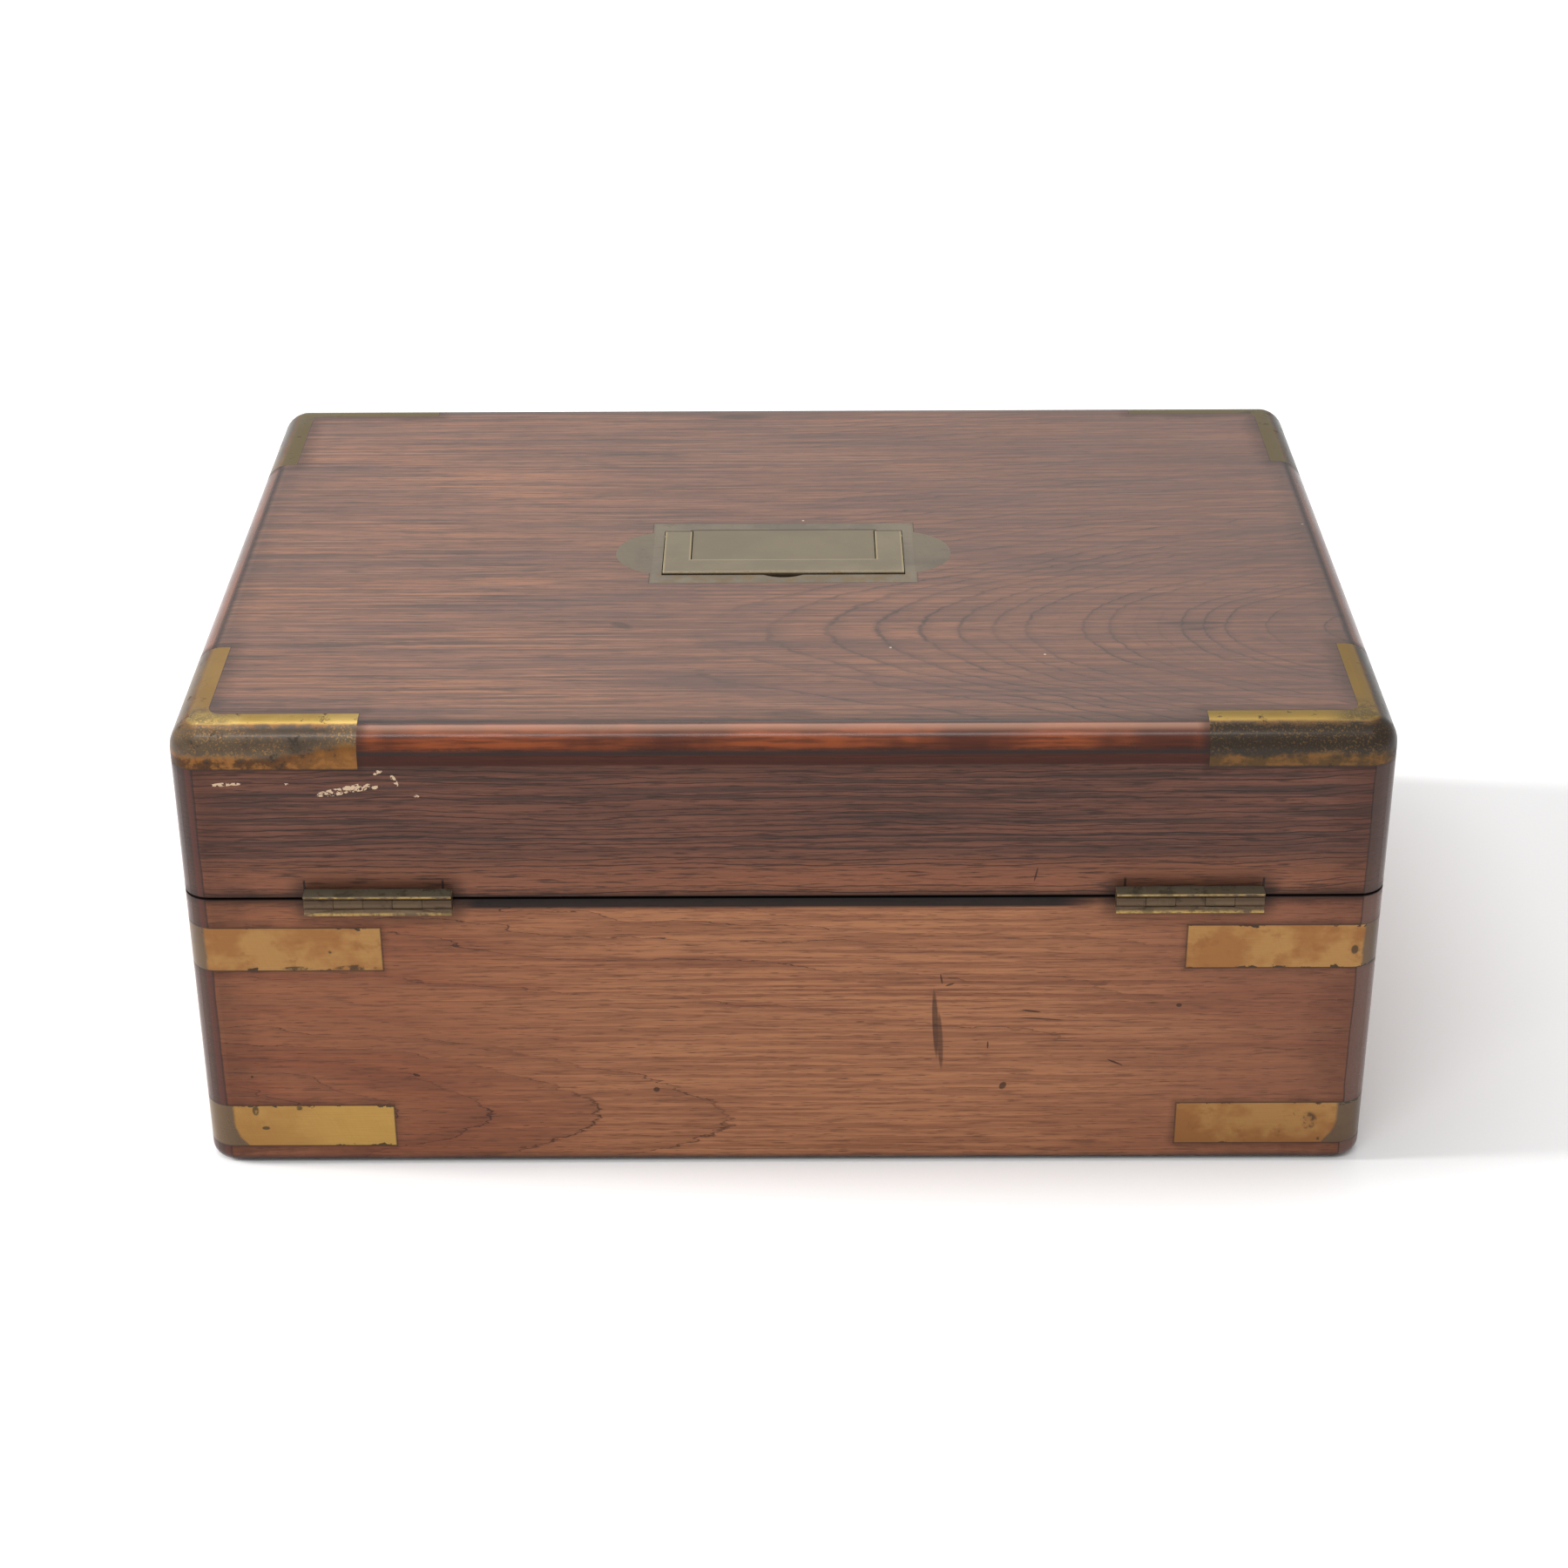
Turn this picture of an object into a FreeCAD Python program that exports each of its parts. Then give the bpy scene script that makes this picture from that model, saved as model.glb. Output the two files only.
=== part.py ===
"""Brass-bound rosewood travelling case holding a small box chronometer in gimbals.

Row frame, millimetres: origin at the centre of the underside, +Z up, +X to the right of someone
facing the hinged back, +Y from the hinged back (-Y) to the lock front (+Y).
"""

import FreeCAD, Part  # noqa: E401
import math
import os

V = FreeCAD.Vector
X, Y, Z = V(1, 0, 0), V(0, 1, 0), V(0, 0, 1)

# ---------------------------------------------------------------- driving dimensions
CASE_W, CASE_D, CASE_H = 330.0, 235.0, 140.0
WALL = 9.0                    # board thickness of the carcass
BOTTOM = 8.0                  # bottom board
SPLIT_Z = 88.4                # hinge plane between base and lid
RIM_GAP = 0.8                 # the hinge leaves hold the rims this far apart
CORNER_R = 8.0                # rounding of the upright corners and of the lid's top edge
FOOT_R = 4.0                  # rounding of the bottom edge

BRASS_T = 1.2                 # sheet brass let in flush
STRAP_LEG = 54.0              # from the corner, along each face
STRAP_H = 13.8
STRAP_LOW_Z = 6.4
STRAP_HIGH_Z = 65.2
CAP_LEG = 51.2                # lid corner caps
CAP_FLANGE = 10.2             # width of a cap's band on the top
CAP_SIDE = 11.7               # and down the sides
CAP_INNER_R = 4.0
LIP_T = 5.4                   # rounded lipping along the lid's top edge
PANEL_T = 7.6                 # top panel, and the lipping's height

HINGE_X, HINGE_L = 110.7, 40.3
PIN_OUT, PIN_R = 2.1, 0.8     # hinge pin's distance behind the back face, and its radius
KNUCKLE_R, KNUCKLES = 1.9, 5
LEAF_IN, LEAF_T = 7.5, 2.0
STOP_OUT, STOP_H = 4.3, 3.0   # square stop lips behind the knuckles
STOP_ANGLE = 48.0             # slope of each stop face, so the lid stops past upright
RUN = 0.1                     # running clearance of the knuckles
LEAF_GAP = 0.05               # each leaf stays this far from the plane between them
LIP_STANDOFF = 0.02           # and its stop lip this far from the back face
FIT = 0.05                    # radial play of a pin that turns in its bore
HINGE_SCREW_AT = 13.4         # outer screws of a hinge, from its middle

HANDLE_Y = -3.0               # centre of the flush handle
PLATE_HALF_W, PLATE_HALF_D, PLATE_FLANGE_T = 39.2, 21.5, 1.4
EAR_OUT, EAR_HALF_D = 10.7, 14.5
PAN_HALF_W, PAN_HALF_D, PAN_DEEP = 37.6, 19.8, 6.2
BAIL_HALF_W, BAIL_ARM, BAIL_GRIP = 35.5, 8.0, 9.2
BAIL_FAR, BAIL_NEAR = 15.8, -15.0
BAIL_T, BAIL_PROUD = 3.0, 0.6
BAIL_END_R, BAIL_PIN_R = 2.0, 0.9
BAIL_RUN = 0.3                # room round the bail in its trough
TROUGH_RUN = 0.1              # and under it
FINGER_GAP = 1.0              # room for a nail in front of the grip
FINGER_R, FINGER_DEEP = 10.0, 2.8  # and the round notch in its middle
BAIL_SCREW_AT = 21.0          # screws under the grip, from the middle

LOCK_Z = 70.0                 # height of the keyhole
LOCK_HALF_W, LOCK_LOW_Z = 30.0, 60.0
STRIP_HALF_W, STRIP_T = 34.0, 1.4
LOCK_Y0, LOCK_Y1 = 107.5, 113.5
HOOK_X = (-17.0, 17.0)

PARTITION_X, PARTITION_T, PARTITION_TOP = 77.0, 5.0, 80.0
TRAY_H, TRAY_WALL, TRAY_FLOOR = 30.0, 3.0, 2.5
LEDGE_W, LEDGE_H = 4.0, 6.0

GIMBAL_Z = 74.0
RING_OUT, RING_IN, RING_H = 65.0, 58.5, 9.0
BRACKET_T = 3.0
TRUNNION_R, TRUNNION_CLEAR = 1.5, 0.05
BOWL_R, BOWL_WALL, BOWL_UP, BOWL_DOWN, BOWL_FOOT_R = 54.0, 1.5, 9.0, 40.0, 12.0
BEZEL_R, BEZEL_H, GLASS_R, GLASS_T = 56.0, 6.0, 51.0, 2.4
GLASS_SEAT = 2.8              # height of the glass above the bezel's foot
DIAL_R, DIAL_T, DIAL_UP = 52.0, 1.2, 4.0
SUBDIAL_Y = 24.0              # seconds towards the front, up and down towards the hinges

HALF_W, HALF_D = CASE_W / 2, CASE_D / 2
IN_W, IN_D = HALF_W - WALL, HALF_D - WALL
BASE_TOP = SPLIT_Z - RIM_GAP / 2
LID_LOW = SPLIT_Z + RIM_GAP / 2
PANEL_LOW = CASE_H - PANEL_T


# ---------------------------------------------------------------- shape helpers
def block(x0, x1, y0, y1, z0, z1):
    return Part.makeBox(x1 - x0, y1 - y0, z1 - z0, V(x0, y0, z0))


def rod(radius, start, end):
    """A cylinder between two points."""
    along = V(*end) - V(*start)
    return Part.makeCylinder(radius, along.Length, V(*start), along)


def tube(outer, inner, start, end):
    return rod(outer, start, end).cut(rod(inner, start, end))


def prism(points, direction):
    """A closed outline of 3D points, pushed along a direction."""
    return Part.Face(Part.makePolygon([V(*p) for p in points + points[:1]])).extrude(direction)


def spun(profile):
    """A closed (radius, z) outline turned about the Z axis."""
    points = [V(r, 0, z) for r, z in profile + profile[:1]]
    return Part.Face(Part.makePolygon(points)).revolve(V(0, 0, 0), Z, 360)


def joined(shapes):
    whole = shapes[0]
    for shape in shapes[1:]:
        whole = whole.fuse(shape)
    return whole.removeSplitter()


def group(shapes):
    return Part.makeCompound(shapes)


def mirrored_x(shape):
    return shape.mirror(V(0, 0, 0), X)


def mirrored_y(shape):
    return shape.mirror(V(0, 0, 0), Y)


def edges_where(shape, test):
    return [e for e in shape.Edges if test(e.BoundBox)]


def is_upright(b):
    return b.ZLength > 1 and b.XLength < 0.01 and b.YLength < 0.01


def rounded_case(inset, z0, z1, top_r=0.0, foot_r=0.0):
    """The case's outline, set in by inset, with its upright corners and top or bottom edge rounded."""
    solid = block(-HALF_W + inset, HALF_W - inset, -HALF_D + inset, HALF_D - inset, z0, z1)
    if top_r:
        rim = edges_where(solid, lambda b: is_upright(b) or b.ZMin > z1 - 0.01)
        return solid.makeFillet(top_r, rim)
    solid = solid.makeFillet(CORNER_R - inset, edges_where(solid, is_upright))
    if foot_r:
        solid = solid.makeFillet(foot_r, edges_where(solid, lambda b: b.ZMax < z0 + 0.01))
    return solid


def mitred_boards(outline, z0, z1, thick=WALL):
    """The four boards of a frame between two heights, mitred at the corners."""
    low = z0 - 1
    tall = V(0, 0, z1 - z0 + 2)
    far_x, far_y = HALF_W, HALF_D
    in_x, in_y = HALF_W - thick, HALF_D - thick
    back = prism([(-far_x, -far_y, low), (far_x, -far_y, low), (in_x, -in_y, low), (-in_x, -in_y, low)], tall)
    right = prism([(far_x, -far_y, low), (far_x, far_y, low), (in_x, in_y, low), (in_x, -in_y, low)], tall)
    slab = outline.common(block(-far_x, far_x, -far_y, far_y, z0, z1))
    return {
        "back": slab.common(back),
        "front": slab.common(mirrored_y(back)),
        "right": slab.common(right),
        "left": slab.common(mirrored_x(right)),
    }


def corner_copies(shape):
    """A piece made at the back left corner, and its copies at the other three corners."""
    right = mirrored_x(shape)
    return {
        "back_left": shape,
        "back_right": right,
        "front_left": mirrored_y(shape),
        "front_right": mirrored_y(right),
    }


def countersunk_screw(head, into, length, head_r=2.4, shank_r=1.2):
    """A countersunk wood screw: its flat head lies at a point and its shank runs along a direction."""
    sink = head_r - shank_r
    cone = Part.makeCone(head_r, shank_r, sink, V(*head), into)
    shank = Part.makeCylinder(shank_r, length - sink, V(*head) + into * sink, into)
    return cone.fuse(shank).removeSplitter()


def slotted(screws):
    """The same screws with a driver slot across each head, each slot at its own angle."""
    done = []
    for k, screw in enumerate(screws):
        flats = [f for f in screw.Faces if isinstance(f.Surface, Part.Plane)]
        head = max(flats, key=lambda f: f.Area)
        slot = Part.makeBox(0.5, 8.0, 1.0, V(-0.25, -4.0, -0.55))
        slot.rotate(V(0, 0, 0), Z, 37.0 * k)
        slot.Placement = FreeCAD.Placement(
            head.CenterOfMass, FreeCAD.Rotation(Z, head.normalAt(0, 0))
        ).multiply(slot.Placement)
        done.append(screw.cut(slot))
    return done


# ---------------------------------------------------------------- brass let into the wood
def corner_straps(z0):
    """The four L-shaped straps of one level, bent round the upright corners of the base."""
    skin = rounded_case(0, 0, BASE_TOP).cut(rounded_case(BRASS_T, -1, BASE_TOP + 1))
    reach = block(-HALF_W - 1, -HALF_W + STRAP_LEG, -HALF_D - 1, -HALF_D + STRAP_LEG, z0, z0 + STRAP_H)
    return list(corner_copies(skin.common(reach)).values())


def lid_caps():
    """The four corner caps: an L in plan over the lid's rounded edge."""
    outer = rounded_case(0, LID_LOW, CASE_H, top_r=CORNER_R)
    inner = rounded_case(BRASS_T, LID_LOW - 1, CASE_H - BRASS_T, top_r=CORNER_R - BRASS_T)
    left, back, low = -HALF_W, -HALF_D, CASE_H - CAP_SIDE
    leg_x = block(left - 1, left + CAP_LEG, back - 1, back + CAP_FLANGE, low, CASE_H + 1)
    leg_y = block(left - 1, left + CAP_FLANGE, back - 1, back + CAP_LEG, low, CASE_H + 1)
    corner = block(
        left + CAP_FLANGE, left + CAP_FLANGE + CAP_INNER_R,
        back + CAP_FLANGE, back + CAP_FLANGE + CAP_INNER_R, low, CASE_H + 1,
    )
    centre = (left + CAP_FLANGE + CAP_INNER_R, back + CAP_FLANGE + CAP_INNER_R)
    throat = rod(CAP_INNER_R, (*centre, low - 1), (*centre, CASE_H + 2))
    footprint = leg_x.fuse(leg_y).fuse(corner.cut(throat))
    return list(corner_copies(outer.cut(inner).common(footprint).removeSplitter()).values())


# ---------------------------------------------------------------- hinges
def hinge_point(out, up):
    """A point of the hinge's section, out from the back face and up from the split."""
    return (0, -HALF_D - out, SPLIT_Z + up)


def knuckle_span(index):
    width = HINGE_L / KNUCKLES
    start = -HINGE_L / 2 + index * width
    return start, start + width


def hinge_leaf(side):
    """One leaf of a stopped box hinge at x = 0. side is 1 for the lid's leaf, -1 for the base's."""
    face = LEAF_GAP * side
    slope = math.tan(math.radians(STOP_ANGLE))
    lip = [
        (-LEAF_IN, LEAF_T * side), (-LEAF_IN, face), (PIN_OUT, face),
        (STOP_OUT, slope * (STOP_OUT - PIN_OUT) * side), (STOP_OUT, STOP_H * side),
        (LIP_STANDOFF, STOP_H * side), (LIP_STANDOFF, LEAF_T * side),
    ]
    at = [hinge_point(*p) for p in lip]
    leaf = prism([(-HINGE_L / 2, y, z) for _, y, z in at], V(HINGE_L, 0, 0))
    own = (1, 3) if side > 0 else (0, 2, 4)
    _, pin_y, pin_z = hinge_point(PIN_OUT, 0)
    barrel = [rod(KNUCKLE_R, (a, pin_y, pin_z), (b, pin_y, pin_z)) for a, b in map(knuckle_span, own)]
    other = [k for k in range(KNUCKLES) if k not in own]
    for a, b in map(knuckle_span, other):
        leaf = leaf.cut(rod(KNUCKLE_R + RUN, (a - RUN, pin_y, pin_z), (b + RUN, pin_y, pin_z)))
    leaf = joined([leaf, *barrel])
    for a, b in map(knuckle_span, other):
        gap = rod(KNUCKLE_R + RUN, (a - RUN / 2, pin_y, pin_z), (b + RUN / 2, pin_y, pin_z))
        leaf = leaf.cut(gap)
    bore = PIN_R + (FIT if side > 0 else 0.0)
    return leaf.cut(rod(bore, (-HINGE_L, pin_y, pin_z), (HINGE_L, pin_y, pin_z)))


def hinge_pin():
    _, pin_y, pin_z = hinge_point(PIN_OUT, 0)
    return rod(PIN_R, (-HINGE_L / 2, pin_y, pin_z), (HINGE_L / 2, pin_y, pin_z))


def hinge_screws(side):
    _, y, z = hinge_point(-LEAF_IN / 2, LEAF_GAP * side)
    return [
        countersunk_screw((x, y, z), Z * side, 12.0, head_r=2.2, shank_r=1.1)
        for x in (-HINGE_SCREW_AT, 0.0, HINGE_SCREW_AT)
    ]


def at_both_hinges(shapes):
    return [s.translated(V(x, 0, 0)) for x in (-HINGE_X, HINGE_X) for s in shapes]


# ---------------------------------------------------------------- flush handle
BAIL_PIVOT_Y = HANDLE_Y + BAIL_FAR - BAIL_END_R
BAIL_LOW = CASE_H + BAIL_PROUD - BAIL_T
BAIL_PIVOT_Z = BAIL_LOW + 1.0


def plate_outline(top, thick):
    """The handle plate's outline: a rectangle with a round ear at each end."""
    z = top - thick
    rect = block(
        -PLATE_HALF_W, PLATE_HALF_W, HANDLE_Y - PLATE_HALF_D, HANDLE_Y + PLATE_HALF_D, z, top
    )
    radius = (EAR_HALF_D**2 + EAR_OUT**2) / (2 * EAR_OUT)
    centre_x = PLATE_HALF_W + EAR_OUT - radius
    ears = [rod(radius, (x, HANDLE_Y, z), (x, HANDLE_Y, top)) for x in (-centre_x, centre_x)]
    reach = PLATE_HALF_W + EAR_OUT + 1
    strip = block(-reach, reach, HANDLE_Y - EAR_HALF_D, HANDLE_Y + EAR_HALF_D, z, top)
    return joined([rect, group(ears).common(strip)])


def plate_pan():
    return block(
        -PAN_HALF_W, PAN_HALF_W, HANDLE_Y - PAN_HALF_D, HANDLE_Y + PAN_HALF_D,
        CASE_H - PAN_DEEP, CASE_H - PLATE_FLANGE_T,
    )


def bail_blank(grow, low, high):
    """The bail's U shape in plan, grown by a clearance, between two heights."""
    far, near = BAIL_PIVOT_Y, HANDLE_Y + BAIL_NEAR
    outer = block(-BAIL_HALF_W - grow, BAIL_HALF_W + grow, near - grow, far, low, high)
    inner_x = BAIL_HALF_W - BAIL_ARM - grow
    return outer.cut(block(-inner_x, inner_x, near + BAIL_GRIP + grow, far + 1, low - 1, high + 1))


def handle_plate():
    """The plate with its trough for the bail, a finger notch, and deeper ends for the bail to turn in."""
    plate = plate_outline(CASE_H, PLATE_FLANGE_T).fuse(plate_pan())
    floor, top = BAIL_LOW - TROUGH_RUN, CASE_H + 1
    near, reach = HANDLE_Y + BAIL_NEAR, BAIL_HALF_W + BAIL_RUN
    trough = bail_blank(BAIL_RUN, floor, top)
    front_gap = block(-reach, reach, near - FINGER_GAP, near, floor, top)
    centre = near - FINGER_DEEP + FINGER_R
    notch = rod(FINGER_R, (0, centre, floor), (0, centre, top))
    notch = notch.common(block(-FINGER_R, FINGER_R, near - FINGER_R, near, floor, top))
    plate = plate.cut(trough).cut(front_gap).cut(notch)
    for side in (-1, 1):
        x0, x1 = sorted((side * (BAIL_HALF_W - BAIL_ARM - BAIL_RUN), side * reach))
        end = block(x0, x1, BAIL_PIVOT_Y - 1.5, BAIL_PIVOT_Y + BAIL_END_R + 0.2,
                    BAIL_PIVOT_Z - BAIL_END_R - 0.15, top)
        plate = plate.cut(end)
    plate = plate.cut(group(handle_pin_rods())).cut(group(handle_screws()))
    return plate.removeSplitter()


def handle_pin_rods(grow=0.0):
    inner, outer = BAIL_HALF_W - 4, BAIL_HALF_W + 1.9
    y, z = BAIL_PIVOT_Y, BAIL_PIVOT_Z
    return [rod(BAIL_PIN_R + grow, (side * inner, y, z), (side * outer, y, z)) for side in (-1, 1)]


def handle_screws():
    y = HANDLE_Y + BAIL_NEAR + BAIL_GRIP / 2
    return [
        countersunk_screw((x, y, BAIL_LOW - TROUGH_RUN), Z * -1, 4.8, head_r=2.4)
        for x in (-BAIL_SCREW_AT, BAIL_SCREW_AT)
    ]


def handle_bail():
    bail = bail_blank(0.0, BAIL_LOW, BAIL_LOW + BAIL_T)
    for side in (-1, 1):
        x0, x1 = sorted((side * (BAIL_HALF_W - BAIL_ARM), side * BAIL_HALF_W))
        nose = rod(BAIL_END_R, (x0, BAIL_PIVOT_Y, BAIL_PIVOT_Z), (x1, BAIL_PIVOT_Y, BAIL_PIVOT_Z))
        slab = block(x0, x1, BAIL_PIVOT_Y, BAIL_PIVOT_Y + BAIL_END_R, BAIL_LOW, BAIL_LOW + BAIL_T)
        bail = bail.fuse(nose.common(slab))
    bail = bail.removeSplitter().cut(group(handle_pin_rods(FIT)))
    top = BAIL_LOW + BAIL_T - 0.01
    rim = edges_where(bail, lambda b: b.ZMin > top and b.XLength > 20 and b.YLength < 0.01)
    return bail.makeFillet(0.6, rim)


# ---------------------------------------------------------------- lock
HOOK_T, HOOK_LOW = 2.6, 78.2
BOLT_Y0, BOLT_Y1 = 110.0, 111.8
BOLT_X0, BOLT_X1 = -27.0, 19.0
BOLT_BAR_Z, BOLT_BAR_H = 74.0, 4.0
BEAK_TOP, BEAK_H, BEAK_L = 83.2, 3.2, 6.0
BEAK_PLAY = 0.7               # from a beak's tip to its hook when the bolt is back
FINGER_W = 3.0
TALON = (-4.9, -0.1)          # the notch the key's bit works in
KEYHOLE_R, KEYHOLE_HALF_SLOT = 2.3, 1.3
KEY_BIT_R, KEY_REST = 6.0, -45.0
KEY_BIT_HALF_T, KEY_BIT_Y = 0.95, (109.8, 112.4)
KEY_SHANK_R, KEY_COLLAR_R, KEY_COLLARS_Y = 1.9, 2.9, (119.2, 121.6, 125.4)
KEY_BOW_R, KEY_BOW_Y, KEY_BOW_T = 7.0, 134.2, 1.5
LOCK_PIN_R, LOCK_PIN_END = 0.9, 109.6
LINK_SCREW_AT, LOCK_SCREW_AT = 30.0, 32.0
ESCUTCHEON_R = 7.0


def keyhole(y0, y1):
    """A round hole with a slot below it, through a depth of wood or metal."""
    hole = rod(KEYHOLE_R, (0, y0, LOCK_Z), (0, y1, LOCK_Z))
    half = KEYHOLE_HALF_SLOT
    return hole.fuse(block(-half, half, y0, y1, LOCK_Z - KEY_BIT_R - 0.6, LOCK_Z))


def lock_outline():
    """The lock's box and the wider strip along the rim."""
    box = block(-LOCK_HALF_W, LOCK_HALF_W, LOCK_Y0, LOCK_Y1, LOCK_LOW_Z, BASE_TOP)
    strip = block(-STRIP_HALF_W, STRIP_HALF_W, IN_D, LOCK_Y1, BASE_TOP - STRIP_T, BASE_TOP)
    return box.fuse(strip)


def lock_body():
    """The hollow lock case with its keyhole, two slots for the hooks and the pin the key turns on."""
    half, low, high = LOCK_HALF_W - 1, LOCK_LOW_Z + 1, BASE_TOP - STRIP_T
    room = block(-half, half, LOCK_Y0 + 0.8, LOCK_Y1 - 0.6, low, high)
    shell = lock_outline().cut(room).cut(keyhole(LOCK_Y1 - 1, LOCK_Y1 + 1))
    for x in HOOK_X:
        reach = HOOK_T / 2 + 0.4
        slot = block(x - reach, x + reach, LOCK_Y0 + 1.2, LOCK_Y1 - 0.3, high - 1, BASE_TOP + 1)
        shell = shell.cut(slot)
    pin = rod(LOCK_PIN_R, (0, LOCK_Y0 + 0.4, LOCK_Z), (0, LOCK_PIN_END, LOCK_Z))
    return joined([shell, pin])


def lock_bolt():
    """A sliding bar with two beaked fingers that pass through the link plate's hooks."""
    bar = block(BOLT_X0, BOLT_X1, BOLT_Y0, BOLT_Y1, BOLT_BAR_Z, BOLT_BAR_Z + BOLT_BAR_H)
    fingers = []
    for x in HOOK_X:
        tip = x - HOOK_T / 2 - BEAK_PLAY
        back = tip - BEAK_L - 2
        fingers.append(block(back, back + FINGER_W, BOLT_Y0, BOLT_Y1, BOLT_BAR_Z + BOLT_BAR_H - 1, BEAK_TOP))
        fingers.append(block(tip - BEAK_L, tip, BOLT_Y0, BOLT_Y1, BEAK_TOP - BEAK_H, BEAK_TOP))
    talon = block(*TALON, BOLT_Y0 - 1, BOLT_Y1 + 1, BOLT_BAR_Z - 1, BOLT_BAR_Z + 2.3)
    return joined([bar, *fingers]).cut(talon)


def link_plate():
    """The strip under the lid's rim with two eyed hooks that drop into the lock."""
    plate = block(-STRIP_HALF_W, STRIP_HALF_W, IN_D, LOCK_Y1, LID_LOW, LID_LOW + STRIP_T)
    for x in HOOK_X:
        hook = block(x - HOOK_T / 2, x + HOOK_T / 2, LOCK_Y0 + 1.8, LOCK_Y1 - 1.2, HOOK_LOW, LID_LOW)
        eye = block(x - HOOK_T, x + HOOK_T, BOLT_Y0 - 0.3, BOLT_Y1 + 0.25, HOOK_LOW + 1.2, HOOK_LOW + 6.4)
        plate = plate.fuse(hook.cut(eye))
    return plate.cut(group(link_screws())).removeSplitter()


def link_screws():
    y = (IN_D + LOCK_Y1) / 2
    return [
        countersunk_screw((x, y, LID_LOW), Z, 10.0, head_r=2.0, shank_r=1.0)
        for x in (-LINK_SCREW_AT, LINK_SCREW_AT)
    ]


def lock_screws():
    y = (IN_D + LOCK_Y1) / 2 + 0.3
    return [
        countersunk_screw((x, y, BASE_TOP), Z * -1, 10.0, head_r=1.7, shank_r=0.9)
        for x in (-LOCK_SCREW_AT, LOCK_SCREW_AT)
    ]


def lock_key():
    """Bit turned to its rest angle, round shank with collars, and a ring bow in the upright plane."""
    bit = block(-KEY_BIT_HALF_T, KEY_BIT_HALF_T, *KEY_BIT_Y, LOCK_Z, LOCK_Z + KEY_BIT_R - 0.1)
    bit.rotate(V(0, 0, LOCK_Z), Y, KEY_REST)
    shank = rod(KEY_SHANK_R, (0, KEY_BIT_Y[0] - 0.1, LOCK_Z), (0, KEY_BOW_Y - KEY_BOW_R, LOCK_Z))
    collars = [rod(KEY_COLLAR_R, (0, y, LOCK_Z), (0, y + 1.4, LOCK_Z)) for y in KEY_COLLARS_Y]
    bow = Part.makeTorus(KEY_BOW_R, KEY_BOW_T, V(0, KEY_BOW_Y, LOCK_Z), X)
    key = joined([bit, shank, *collars, bow])
    return key.cut(rod(LOCK_PIN_R + 0.1, (0, 108.0, LOCK_Z), (0, 116.0, LOCK_Z)))


def escutcheon():
    y0, y1 = HALF_D - BRASS_T, HALF_D
    top, low = LOCK_Z + 3.0, LOCK_Z - 6.0
    ends = [rod(ESCUTCHEON_R, (0, y0, z), (0, y1, z)) for z in (low, top)]
    return joined([*ends, block(-ESCUTCHEON_R, ESCUTCHEON_R, y0, y1, low, top)])


# ---------------------------------------------------------------- inside fittings
SCOOP_R, SCOOP_UP, SCOOP_Y = 16.0, 9.0, IN_D - 42.0   # finger scoop in the partition beside the tray
TRAY_RUN = 0.5                # room round the tray
TRAY_X0, TRAY_X1 = PARTITION_X + PARTITION_T / 2 + TRAY_RUN, IN_W - TRAY_RUN
TRAY_Y = IN_D - TRAY_RUN
TRAY_LOW = PARTITION_TOP - TRAY_H
KNOB_R = 7.5


def partition(side):
    """A board across the case, with a finger scoop on the tray's side."""
    x0, x1 = sorted((side * (PARTITION_X - PARTITION_T / 2), side * (PARTITION_X + PARTITION_T / 2)))
    board = block(x0, x1, -IN_D, IN_D, BOTTOM, PARTITION_TOP)
    if side < 0:
        return board
    z = PARTITION_TOP + SCOOP_UP
    return board.cut(rod(SCOOP_R, (x0 - 1, SCOOP_Y, z), (x1 + 1, SCOOP_Y, z)))


def accessory_tray():
    """An open tray with one cross divider, whose rounded middle stands up as a finger grip."""
    tray = block(TRAY_X0, TRAY_X1, -TRAY_Y, TRAY_Y, TRAY_LOW, PARTITION_TOP)
    half_divider = TRAY_WALL / 2
    for y0, y1 in ((-TRAY_Y + TRAY_WALL, -half_divider), (half_divider, TRAY_Y - TRAY_WALL)):
        tray = tray.cut(block(TRAY_X0 + TRAY_WALL, TRAY_X1 - TRAY_WALL, y0, y1,
                              TRAY_LOW + TRAY_FLOOR, PARTITION_TOP + 1))
    middle = (TRAY_X0 + TRAY_X1) / 2
    z = PARTITION_TOP - 2
    grip = rod(KNOB_R, (middle, -half_divider, z), (middle, half_divider, z))
    return tray.fuse(grip).removeSplitter()


def tray_ledges():
    x0, x1 = PARTITION_X + PARTITION_T / 2, IN_W
    low = TRAY_LOW - LEDGE_H
    return [
        block(x0, x0 + LEDGE_W, -IN_D, IN_D, low, TRAY_LOW),
        block(x1 - LEDGE_W, x1, -IN_D, IN_D, low, TRAY_LOW),
    ]


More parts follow.
